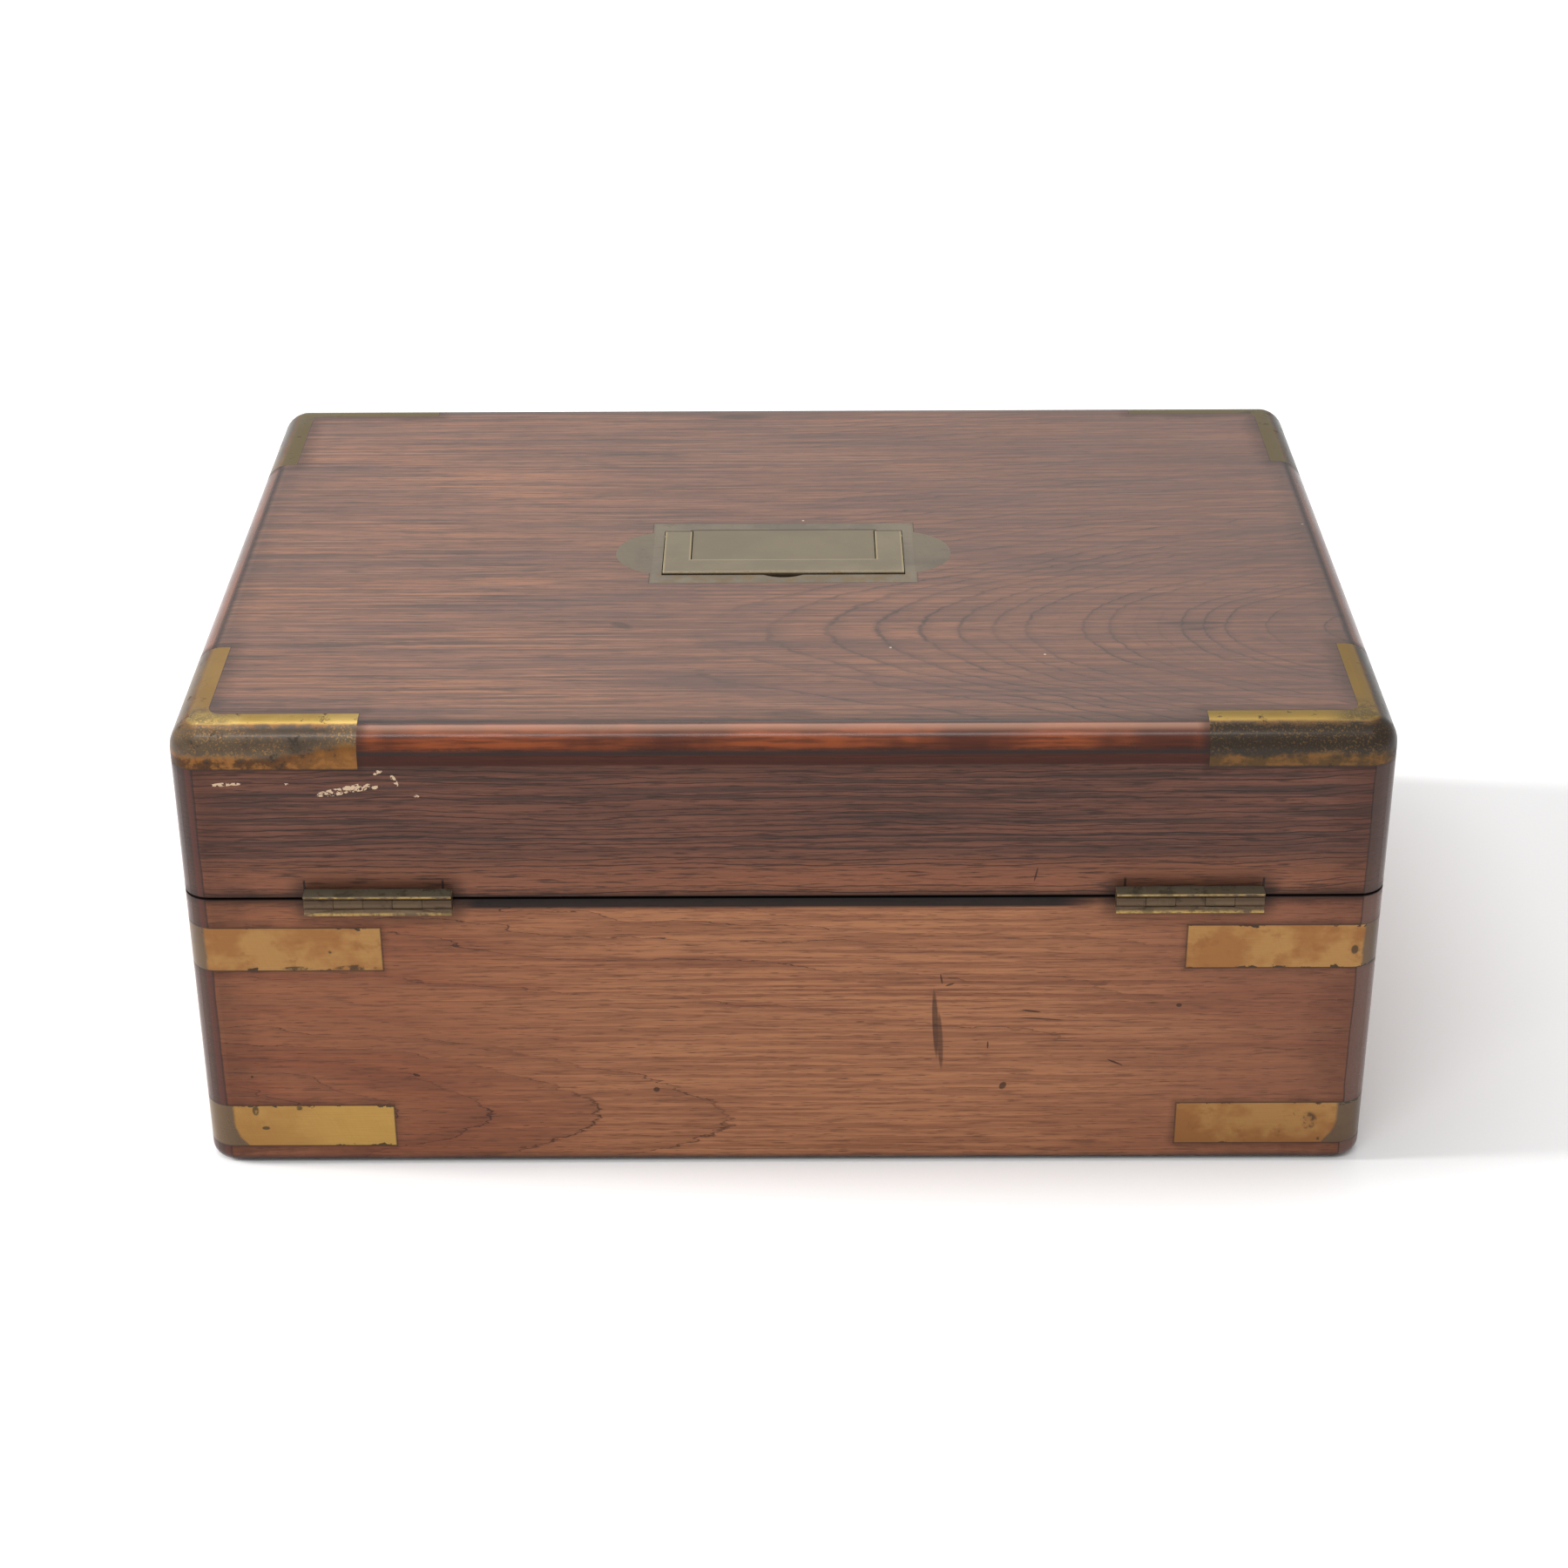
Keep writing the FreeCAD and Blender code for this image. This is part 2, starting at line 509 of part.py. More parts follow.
def winding_key():
    """A chronometer key lying in the tray: square-holed pipe, collar and pierced oval thumb piece."""
    pipe_r, collar_r, lobe_r, half_t, half_square = 3.2, 3.6, 9.0, 1.4, 1.5
    x, z = (TRAY_X0 + TRAY_X1) / 2, TRAY_LOW + TRAY_FLOOR + collar_r
    y0 = 34.0
    pipe = rod(pipe_r, (x, y0, z), (x, y0 + 30, z))
    collar = rod(collar_r, (x, y0 + 24, z), (x, y0 + 27, z))
    y1 = y0 + 38
    lobes = [rod(lobe_r, (x + dx, y1, z - half_t), (x + dx, y1, z + half_t)) for dx in (-6.5, 6.5)]
    web = block(x - 3, x + 3, y0 + 28, y0 + 42, z - half_t, z + half_t)
    holes = [rod(4.6, (x + dx, y1, z - 3), (x + dx, y1, z + 3)) for dx in (-7.5, 7.5)]
    key = joined([pipe, collar, *lobes, web])
    square = block(x - half_square, x + half_square, y0 - 1, y0 + 16, z - half_square, z + half_square)
    return key.cut(group(holes)).cut(square)


def lid_lining():
    """Padded velvet panel under the lid's top."""
    margin, thick = 4.0, 2.6
    half_x, half_y = IN_W - margin, IN_D - margin
    return block(-half_x, half_x, -half_y, half_y, PANEL_LOW - thick, PANEL_LOW)


# ---------------------------------------------------------------- gimbals
BRACKET_HALF_W, BRACKET_HEAD_R, BRACKET_DOWN = 10.0, 8.0, 20.0
BRACKET_SCREW_DOWN, BRACKET_SCREW_AT = 14.0, 6.0
COLLAR_R = 2.8                # collar of a trunnion where it sits in the ring
OUTER_PIVOT, OUTER_COLLAR = (60.0, 73.6), (62.0, 68.5)
INNER_PIVOT, INNER_COLLAR = (54.6, 64.0), (60.5, 66.0)
ARM_Y, ARM_L, ARM_T = -12.0, 15.0, 2.5
ARM_HUB_R, ARM_HALF_W, ARM_TIP_R, ARM_BORE_R = 4.0, 2.2, 3.0, 1.3


def gimbal_bracket(side):
    face = PARTITION_X - PARTITION_T / 2
    x0, x1 = sorted((side * (face - BRACKET_T), side * face))
    plate = block(x0, x1, -BRACKET_HALF_W, BRACKET_HALF_W, GIMBAL_Z - BRACKET_DOWN, GIMBAL_Z)
    head = rod(BRACKET_HEAD_R, (x0, 0, GIMBAL_Z), (x1, 0, GIMBAL_Z))
    bearing = rod(TRUNNION_R + TRUNNION_CLEAR, (x0 - 1, 0, GIMBAL_Z), (x1 + 1, 0, GIMBAL_Z))
    return joined([plate, head]).cut(bearing).cut(group(bracket_screws(side)))


def bracket_screws(side):
    face = side * (PARTITION_X - PARTITION_T / 2 - BRACKET_T)
    z = GIMBAL_Z - BRACKET_SCREW_DOWN
    return [
        countersunk_screw((face, y, z), X * side, 7.0, head_r=2.4)
        for y in (-BRACKET_SCREW_AT, BRACKET_SCREW_AT)
    ]


def gimbal_ring():
    low, high = GIMBAL_Z - RING_H / 2, GIMBAL_Z + RING_H / 2
    ring = tube(RING_OUT, RING_IN, (0, 0, low), (0, 0, high))
    rim = edges_where(ring, lambda b: b.ZLength < 0.01)
    return ring.makeFillet(0.8, rim).cut(group(gimbal_pivots()))


def gimbal_pivots():
    """Outer trunnions into the brackets, inner trunnions into the bowl's bosses, all held by the ring."""
    pivots = []
    for way, pivot, collar in ((X, OUTER_PIVOT, OUTER_COLLAR), (Y, INNER_PIVOT, INNER_COLLAR)):
        for side in (-1, 1):
            pin, shoulder = (
                rod(r, way * side * a + Z * GIMBAL_Z, way * side * b + Z * GIMBAL_Z)
                for r, (a, b) in ((TRUNNION_R, pivot), (COLLAR_R, collar))
            )
            pivots.append(joined([pin, shoulder]))
    return pivots


def lock_arm():
    """Swings from along the partition to across the gimbal ring, to hold it still."""
    x, y, low, top = -PARTITION_X, ARM_Y, PARTITION_TOP, PARTITION_TOP + ARM_T
    hub = rod(ARM_HUB_R, (x, y, low), (x, y, top))
    bar = block(x - ARM_HALF_W, x + ARM_HALF_W, y - ARM_L, y, low, top)
    tip_y, knob_y = y - ARM_L + 0.5, y - ARM_L / 2
    tip = rod(ARM_TIP_R, (x, tip_y, low), (x, tip_y, top))
    knob = rod(1.8, (x, knob_y, low), (x, knob_y, low + 6.0))
    arm = joined([hub, bar, tip, knob])
    return arm.cut(rod(ARM_BORE_R, (x, y, low - 1), (x, y, top + 1)))


def lock_arm_screw():
    x, y, low = -PARTITION_X, ARM_Y, PARTITION_TOP
    seat = low + ARM_T + 0.1
    head = rod(2.6, (x, y, seat), (x, y, seat + 1.2))
    return joined([head, rod(ARM_BORE_R - FIT, (x, y, low - 9), (x, y, seat))])


# ---------------------------------------------------------------- chronometer
def bowl():
    top, low = GIMBAL_Z + BOWL_UP, GIMBAL_Z - BOWL_DOWN
    outer = rod(BOWL_R, (0, 0, low), (0, 0, top))
    outer = outer.makeFillet(BOWL_FOOT_R, edges_where(outer, lambda b: b.ZMax < low + 0.01))
    inner_r = BOWL_R - BOWL_WALL
    inner = rod(inner_r, (0, 0, low + BOWL_WALL), (0, 0, top + 1))
    foot = edges_where(inner, lambda b: b.ZMax < low + BOWL_WALL + 0.01)
    inner = inner.makeFillet(BOWL_FOOT_R - BOWL_WALL, foot)
    shell = outer.cut(inner)
    for side in (-1, 1):
        boss = rod(4.5, (0, side * (BOWL_R - 3.0), GIMBAL_Z), (0, side * (RING_IN - 0.8), GIMBAL_Z))
        shell = shell.fuse(boss.cut(rod(inner_r, (0, 0, low), (0, 0, top))))
        ends = (0, side * (INNER_PIVOT[0] - 0.2), GIMBAL_Z), (0, side * 60.0, GIMBAL_Z)
        shell = shell.cut(rod(TRUNNION_R + TRUNNION_CLEAR, *ends))
    shelf = tube(inner_r, DIAL_R - 3.0, (0, 0, GIMBAL_Z + DIAL_UP - 4.0), (0, 0, GIMBAL_Z + DIAL_UP))
    return joined([shell, shelf])


def bezel():
    """Milled screw-on ring that holds the glass."""
    low = GIMBAL_Z + BOWL_UP
    top = low + BEZEL_H
    seat = low + GLASS_SEAT
    return spun([
        (GLASS_R - 2.0, low), (BEZEL_R, low), (BEZEL_R, low + 3.6), (BEZEL_R - 1.2, top),
        (GLASS_R, top), (GLASS_R, seat), (GLASS_R - 2.0, seat),
    ])


def glass():
    seat = GIMBAL_Z + BOWL_UP + GLASS_SEAT
    top, edge = seat + GLASS_T, 1.0
    return spun([(0, seat), (GLASS_R, seat), (GLASS_R, top - edge), (GLASS_R - edge, top), (0, top)])


def dial():
    low = GIMBAL_Z + DIAL_UP
    disc = rod(DIAL_R, (0, 0, low), (0, 0, low + DIAL_T))
    for y, r in ((0, 3.0), (SUBDIAL_Y, 1.2), (-SUBDIAL_Y, 1.2)):
        disc = disc.cut(rod(r, (0, y, low - 1), (0, y, low + 3)))
    return disc


# heights of the movement's planes, from the gimbal axis
PLATE_HIGH, PLATE_HIGH_T, PLATE_HIGH_R = 1.0, 2.5, 48.5
PLATE_LOW, PLATE_LOW_T, PLATE_LOW_R = -19.5, 2.5, 46.0
CENTRE_PINION_R, GREAT_WHEEL_R = 3.0, 19.6
CENTRE_WHEEL_R, THIRD_PINION_R = 14.0, 2.0
THIRD_WHEEL_R, FOURTH_PINION_R = 12.0, 2.0
FOURTH_WHEEL_R = 9.0
MESH = 0.05                   # tip clearance between a wheel and the pinion it drives
ESCAPE_WHEEL_R, ESCAPE_PINION_R, ROLLER_R = 7.0, 1.8, 3.0
ARBOR_R = 1.6
FUSEE_AT = (16.0, -16.0)
BARREL_AT = (-20.0, -16.0)
BALANCE_AT = (-17.0, 14.0)
FOURTH_AT = (0.0, SUBDIAL_Y)


def circle_meeting(a, ra, b, rb):
    """The point at distance ra from a and rb from b, to the right of the way from a to b."""
    span = math.dist(a, b)
    along = (ra**2 - rb**2 + span**2) / (2 * span)
    side = math.sqrt(ra**2 - along**2)
    ux, uy = (b[0] - a[0]) / span, (b[1] - a[1]) / span
    return a[0] + ux * along + uy * side, a[1] + uy * along - ux * side


THIRD_AT = circle_meeting(
    (0.0, 0.0), CENTRE_WHEEL_R + THIRD_PINION_R + MESH,
    FOURTH_AT, THIRD_WHEEL_R + FOURTH_PINION_R + MESH,
)
ESCAPE_AT = circle_meeting(
    FOURTH_AT, FOURTH_WHEEL_R + ESCAPE_PINION_R + MESH,
    BALANCE_AT, ESCAPE_WHEEL_R + ROLLER_R + 0.6,
)


def up(z):
    return GIMBAL_Z + z


def toothed_disc(at, radius, teeth, z0, z1, depth):
    """A wheel with plain trapezoid teeth."""
    points = []
    pitch = 2 * math.pi / teeth
    for k in range(teeth):
        for share, r in ((-0.30, radius - depth), (-0.16, radius), (0.16, radius), (0.30, radius - depth)):
            angle = (k + share) * pitch
            points.append((at[0] + r * math.cos(angle), at[1] + r * math.sin(angle), z0))
    return prism(points, V(0, 0, z1 - z0))


def crossed_wheel(at, radius, teeth, z0, z1, arms=4, depth=0.8):
    """A toothed wheel with its web cut away between arms."""
    wheel = toothed_disc(at, radius, teeth, z0, z1, depth)
    rim, hub = radius - depth - 1.6, 3.0
    window = tube(rim, hub, (*at, z0 - 1), (*at, z1 + 1))
    for k in range(arms):
        bar = block(0, radius, -0.8, 0.8, z0 - 2, z1 + 2)
        bar.rotate(V(0, 0, 0), Z, 360.0 * k / arms)
        window = window.cut(bar.translated(V(at[0], at[1], 0)))
    return wheel.cut(window)


def pillar_plate():
    """The plate behind the dial, with four turned pillars riveted in."""
    low = up(PLATE_HIGH)
    plate = rod(PLATE_HIGH_R, (0, 0, low), (0, 0, low + PLATE_HIGH_T))
    for at, r in (((0, 0), 1.8), (FOURTH_AT, 0.9), ((0, -SUBDIAL_Y), 0.9)):
        plate = plate.cut(rod(r, (*at, low - 1), (*at, low + 5)))
    foot = up(PLATE_LOW + PLATE_LOW_T)
    for x, y in ((42, 0), (0, 42), (-42, 0), (0, -42)):
        plate = plate.fuse(rod(2.2, (x, y, foot), (x, y, low)))
        plate = plate.fuse(rod(3.0, (x, y, foot + 6), (x, y, foot + 9)))
    return plate.removeSplitter()


def top_plate():
    low = up(PLATE_LOW)
    plate = rod(PLATE_LOW_R, (0, 0, low), (0, 0, low + PLATE_LOW_T))
    winding = rod(2.2, (*FUSEE_AT, low - 1), (*FUSEE_AT, low + 4))
    staff = rod(1.2, (*BALANCE_AT, low - 1), (*BALANCE_AT, low + 4))
    cock_foot = rod(4.0, (-36, 14, low - 12), (-36, 14, low))
    cock_arm = block(-40.0, BALANCE_AT[0] + 3.5, 11.0, 17.0, low - 14.5, low - 12)
    plate = plate.cut(winding).cut(staff)
    cock = joined([cock_foot, cock_arm, rod(3.5, (*BALANCE_AT, low - 14.5), (*BALANCE_AT, low - 12))])
    cock = cock.cut(rod(0.55, (*BALANCE_AT, low - 13.2), (*BALANCE_AT, low - 11)))
    return [plate, cock]


def spring_barrel():
    drum = rod(13.0, (*BARREL_AT, up(-15.5)), (*BARREL_AT, up(-4.6)))
    lips = [rod(13.6, (*BARREL_AT, up(z)), (*BARREL_AT, up(z + 0.8))) for z in (-15.5, -5.4)]
    bore = rod(ARBOR_R + 0.05, (*BARREL_AT, up(-17.0)), (*BARREL_AT, up(1.0)))
    return joined([drum, *lips]).cut(bore)


def barrel_arbor():
    return rod(ARBOR_R, (*BARREL_AT, up(-16.9)), (*BARREL_AT, up(0.9)))


def fusee():
    """Stepped cone for the chain, with the great wheel on its large end and a winding square below."""
    turns, low, high = 7, -15.0, -4.2
    step = (high - low) / turns
    profile = [(0, up(low))]
    for k in range(turns):
        r = 6.5 + 4.5 * (k / (turns - 1)) ** 1.6
        z = up(low + k * step)
        profile += [(r + 0.7, z), (r + 0.7, z + step * 0.3), (r, z + step * 0.35), (r, z + step)]
    profile += [(0, up(high))]
    cone = spun(profile).translated(V(*FUSEE_AT, 0))
    wheel = toothed_disc(FUSEE_AT, GREAT_WHEEL_R, 90, up(-4.2), up(-2.8), 0.7)
    arbor = rod(ARBOR_R, (*FUSEE_AT, up(-23.0)), (*FUSEE_AT, up(0.9)))
    x, y = FUSEE_AT
    square = block(x - 1.4, x + 1.4, y - 1.4, y + 1.4, up(-30.0), up(-22.5))
    return joined([cone, wheel, arbor, square])


def centre_wheel():
    pinion = toothed_disc((0, 0), CENTRE_PINION_R - MESH, 14, up(-4.4), up(-2.0), 0.6)
    wheel = crossed_wheel((0, 0), CENTRE_WHEEL_R, 64, up(-1.8), up(-0.9))
    arbor = rod(1.0, (0, 0, up(-16.9)), (0, 0, up(9.2)))
    return joined([pinion, wheel, arbor])


def third_wheel():
    pinion = toothed_disc(THIRD_AT, THIRD_PINION_R, 8, up(-2.4), up(-0.3), 0.5)
    wheel = crossed_wheel(THIRD_AT, THIRD_WHEEL_R, 60, up(-6.6), up(-5.8))
    arbor = rod(0.9, (*THIRD_AT, up(-16.9)), (*THIRD_AT, up(0.9)))
    return joined([pinion, wheel, arbor])


def fourth_wheel():
    pinion = toothed_disc(FOURTH_AT, FOURTH_PINION_R, 8, up(-7.2), up(-5.2), 0.5)
    wheel = crossed_wheel(FOURTH_AT, FOURTH_WHEEL_R, 60, up(-11.5), up(-10.7), depth=0.6)
    arbor = rod(0.7, (*FOURTH_AT, up(-16.9)), (*FOURTH_AT, up(6.4)))
    return joined([pinion, wheel, arbor])


def escape_wheel():
    """Fifteen pointed teeth on a light wheel, with its pinion in the fourth wheel."""
    points = []
    for k in range(15):
        tip = 2 * math.pi * k / 15
        for turn, r in ((-0.30, ESCAPE_WHEEL_R - 2.0), (0.0, ESCAPE_WHEEL_R), (0.03, ESCAPE_WHEEL_R - 2.0)):
            angle = tip + turn
            points.append((ESCAPE_AT[0] + r * math.cos(angle), ESCAPE_AT[1] + r * math.sin(angle), up(-15.6)))
    wheel = prism(points, V(0, 0, 0.7))
    pinion = toothed_disc(ESCAPE_AT, ESCAPE_PINION_R, 8, up(-12.2), up(-10.0), 0.5)
    arbor = rod(0.6, (*ESCAPE_AT, up(-16.9)), (*ESCAPE_AT, up(0.9)))
    return joined([wheel, pinion, arbor])


def detent():
    """The thin locking spring beside the escape wheel, on its foot on the top plate."""
    x, y = ESCAPE_AT
    near = y + ESCAPE_WHEEL_R + 0.5
    foot = block(x - 15, x - 11, near - 0.8, near + 3.0, up(PLATE_LOW + PLATE_LOW_T), up(-14.4))
    blade = block(x - 12, x + 3, near, near + 0.35, up(-15.6), up(-14.6))
    stone = block(x - 1.2, x + 1.2, near - 0.2, near + 1.2, up(-15.8), up(-14.4))
    return joined([foot, blade, stone])


def balance_wheel():
    """Cut compensation balance: two bimetal arcs on a bar, each with a weight, and the roller above."""
    low = up(PLATE_LOW)
    rim = tube(11.5, 10.1, (*BALANCE_AT, low - 4.2), (*BALANCE_AT, low - 2.2))
    x, y = BALANCE_AT
    gap = block(2.2, 4.4, 0, 12, low - 6, low)
    opposite = gap.copy()
    opposite.rotate(V(0, 0, 0), Z, 180)
    gaps = [g.translated(V(x, y, 0)) for g in (gap, opposite)]
    bar = block(x - 1.2, x + 1.2, y - 10.6, y + 10.6, low - 4.2, low - 3.0)
    weights = [
        rod(2.0, (x + side * 10.8, y, low - 5.0), (x + side * 10.8, y, low - 1.4)) for side in (-1, 1)
    ]
    staff = rod(0.5, (x, y, low - 13.0), (x, y, up(-13.6)))
    hub = rod(1.0, (x, y, low - 10.5), (x, y, low - 1.0))
    roller = rod(ROLLER_R, (x, y, up(-15.7)), (x, y, up(-14.8)))
    return joined([rim.cut(group(gaps)), bar, *weights, staff, hub, roller])


def balance_spring():
    """The helical balance spring, wound round the staff above the balance."""
    x, y = BALANCE_AT
    low = up(PLATE_LOW) - 10.2
    helix = Part.makeHelix(0.85, 5.1, 3.6)
    wire = Part.Wire(helix.Edges)
    section = Part.Wire([Part.makeCircle(0.22, V(3.6, 0, 0), Y)])
    coil = wire.makePipeShell([section], True, True)
    return coil.translated(V(x, y, low))


def spade_hand(length, tail, z, width, hub_r, bore):
    """A blued hand that points along -Y from the centre, with a spade near its tip."""
    t = 0.5
    spade_at = -(length - 8.0)
    wide, narrow = width / 2, width * 0.3
    outline = [(-wide, tail, z), (wide, tail, z), (narrow, -length, z), (-narrow, -length, z)]
    blade = prism(outline, V(0, 0, t))
    spade = rod(width * 1.5, (0, spade_at, z), (0, spade_at, z + t))
    hub = rod(hub_r, (0, 0, z), (0, 0, z + t + 0.4))
    return joined([blade, spade, hub]).cut(rod(bore, (0, 0, z - 1), (0, 0, z + 3)))


HAND_TIME = {"hour": -54.0, "minute": 60.0, "seconds": 130.0, "reserve": -60.0}


def turned(shape, at, degrees):
    shape = shape.copy()
    shape.rotate(V(at[0], at[1], 0), Z, degrees)
    return shape


def hour_hand():
    hand = spade_hand(30.0, 6.0, up(6.9), 2.6, 3.4, 1.6)
    pipe = tube(2.4, 1.6, (0, 0, up(4.2)), (0, 0, up(6.9)))
    return turned(joined([hand, pipe]), (0, 0), HAND_TIME["hour"])


def minute_hand():
    return turned(spade_hand(43.0, 9.0, up(8.4), 2.0, 2.6, 1.0), (0, 0), HAND_TIME["minute"])


def slim_hand(at, length, tail, z, bore):
    hand = prism([(-0.5, tail, z), (0.5, tail, z), (0.25, -length, z), (-0.25, -length, z)], V(0, 0, 0.35))
    hub = rod(1.5, (0, 0, z), (0, 0, z + 0.7))
    return joined([hand, hub]).cut(rod(bore, (0, 0, z - 1), (0, 0, z + 3))).translated(V(at[0], at[1], 0))


def seconds_hand():
    return turned(slim_hand(FOURTH_AT, 9.2, 3.5, up(5.7), 0.7), FOURTH_AT, HAND_TIME["seconds"])


def up_down_hand():
    at = (0.0, -SUBDIAL_Y)
    hand = slim_hand(at, 8.0, 3.0, up(5.7), 0.0001)
    arbor = rod(0.7, (*at, up(1.6)), (*at, up(6.3)))
    return turned(joined([hand, arbor]), at, HAND_TIME["reserve"])


# ---------------------------------------------------------------- the whole assembly
def base_parts():
    straps_low, straps_high = corner_straps(STRAP_LOW_Z), corner_straps(STRAP_HIGH_Z)
    leaves = at_both_hinges([hinge_leaf(-1)])
    hinge_fixings = at_both_hinges(hinge_screws(-1))
    screws = hinge_fixings + lock_screws() + bracket_screws(-1) + bracket_screws(1) + [lock_arm_screw()]
    lock_spaces = [lock_outline(), keyhole(LOCK_Y1 - 1, HALF_D + 1), escutcheon()]
    carcass = rounded_case(0, 0, BASE_TOP, foot_r=FOOT_R)
    boards = mitred_boards(carcass, 0, BASE_TOP)
    cutters = {
        "back": straps_low + straps_high + leaves + hinge_fixings,
        "front": straps_low + straps_high + lock_screws() + lock_spaces,
        "left": straps_low + straps_high,
        "right": straps_low + straps_high,
    }
    parts = {f"base_{name}_board": board.cut(group(cutters[name])) for name, board in boards.items()}
    for side, name in ((-1, "left"), (1, "right")):
        parts[f"partition_{name}"] = partition(side).cut(group(bracket_screws(side) + [lock_arm_screw()]))
        parts[f"gimbal_bracket_{name}"] = gimbal_bracket(side)
    parts.update({
        "base_bottom_board": block(-IN_W, IN_W, -IN_D, IN_D, 0, BOTTOM),
        "lower_corner_straps": group(straps_low),
        "upper_corner_straps": group(straps_high),
        "hinge_base_leaves": group([leaf.cut(group(hinge_fixings)) for leaf in leaves]),
        "hinge_pins": group(at_both_hinges([hinge_pin()])),
        "base_screws": group(slotted(screws)),
        "lock_body": lock_body().cut(group(lock_screws())),
        "keyhole_escutcheon": escutcheon().cut(keyhole(HALF_D - 3, HALF_D + 1)),
        "tray_ledges": group(tray_ledges()),
    })
    return parts


def lid_parts():
    caps = lid_caps()
    shell = rounded_case(0, LID_LOW, CASE_H, top_r=CORNER_R)
    leaves = at_both_hinges([hinge_leaf(1)])
    screws = at_both_hinges(hinge_screws(1))
    link_room = block(-STRIP_HALF_W, STRIP_HALF_W, IN_D, LOCK_Y1, LID_LOW - 1, LID_LOW + STRIP_T)
    boards = mitred_boards(shell, LID_LOW, PANEL_LOW)
    cutters = {"back": leaves + screws + caps, "front": [link_room] + link_screws() + caps}
    parts = {}
    for name, board in boards.items():
        parts[f"lid_{name}_board"] = board.cut(group(cutters.get(name, caps)))
    in_x, in_y = HALF_W - LIP_T, HALF_D - LIP_T
    cap_metal = group(caps)
    strips = mitred_boards(shell, PANEL_LOW, CASE_H, LIP_T).values()
    pocket = plate_outline(CASE_H, PLATE_FLANGE_T).fuse(plate_pan())
    panel = shell.common(block(-in_x, in_x, -in_y, in_y, PANEL_LOW, CASE_H))
    parts.update({
        "lid_corner_caps": cap_metal,
        "lid_edge_lipping": group([strip.cut(cap_metal) for strip in strips]),
        "lid_top_panel": panel.cut(pocket).cut(cap_metal).cut(group(handle_screws())),
        "hinge_lid_leaves": group([leaf.cut(group(screws)) for leaf in leaves]),
        "lid_screws": group(slotted(screws + link_screws() + handle_screws())),
        "link_plate": link_plate(),
        "handle_plate": handle_plate(),
        "handle_pins": group(handle_pin_rods()),
        "lid_lining": lid_lining(),
    })
    return parts


def moving_parts():
    return {
        "handle_bail": handle_bail(),
        "lock_key": lock_key(),
        "lock_bolt": lock_bolt(),
        "accessory_tray": accessory_tray(),
        "winding_key": winding_key(),
        "gimbal_lock_arm": lock_arm(),
        "gimbal_ring": gimbal_ring(),
        "gimbal_pivots": group(gimbal_pivots()),
    }


def chronometer_parts():
    return {
        "bowl": bowl(),
        "bezel": bezel(),
        "glass": glass(),
        "dial": dial(),
        "pillar_plate": pillar_plate(),
        "top_plate": group(top_plate()),
        "spring_barrel": spring_barrel(),
        "barrel_arbor": barrel_arbor(),
        "fusee": fusee(),
        "centre_wheel": centre_wheel(),
        "third_wheel": third_wheel(),
        "fourth_wheel": fourth_wheel(),
        "escape_wheel": escape_wheel(),
        "detent": detent(),
        "balance_wheel": balance_wheel(),
        "balance_spring": balance_spring(),
        "hour_hand": hour_hand(),
        "minute_hand": minute_hand(),
        "seconds_hand": seconds_hand(),
        "up_down_hand": up_down_hand(),
    }


def main():
    os.makedirs("parts", exist_ok=True)
    for old in os.listdir("parts"):
        os.remove(os.path.join("parts", old))
    parts = {**base_parts(), **lid_parts(), **moving_parts(), **chronometer_parts()}
    for name, shape in parts.items():
        solids = shape.Solids
        whole = solids[0] if len(solids) == 1 else group(solids)
        if not whole.isValid() or min(s.Volume for s in solids) <= 0:
            print("invalid shape:", name)
        whole.exportStep(f"parts/{name}.step")
        print(f"{name}: {len(solids)} solid(s), {whole.Volume:.1f} mm3")
    print(len(parts), "nodes")


main()
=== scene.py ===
"""Looks of the brass-bound rosewood case and the box chronometer in it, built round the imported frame."""

from math import cos, exp, pi, radians, sin, sqrt

import bpy
from mathutils import Matrix, Vector


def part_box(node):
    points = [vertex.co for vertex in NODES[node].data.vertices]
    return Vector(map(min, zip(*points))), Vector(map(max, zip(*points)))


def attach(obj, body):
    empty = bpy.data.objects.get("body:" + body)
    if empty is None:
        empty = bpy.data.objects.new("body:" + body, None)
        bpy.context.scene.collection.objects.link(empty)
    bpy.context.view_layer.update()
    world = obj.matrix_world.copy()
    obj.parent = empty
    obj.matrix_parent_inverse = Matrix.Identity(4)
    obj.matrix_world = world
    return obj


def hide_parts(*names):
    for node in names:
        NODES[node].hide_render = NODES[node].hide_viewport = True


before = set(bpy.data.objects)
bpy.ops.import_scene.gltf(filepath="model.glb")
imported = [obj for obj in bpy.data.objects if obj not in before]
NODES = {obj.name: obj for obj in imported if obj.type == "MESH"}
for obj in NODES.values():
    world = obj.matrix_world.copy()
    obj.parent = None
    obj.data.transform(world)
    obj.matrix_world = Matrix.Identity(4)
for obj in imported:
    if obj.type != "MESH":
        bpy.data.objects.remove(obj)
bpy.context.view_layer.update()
scene = bpy.context.scene
MM = 0.001

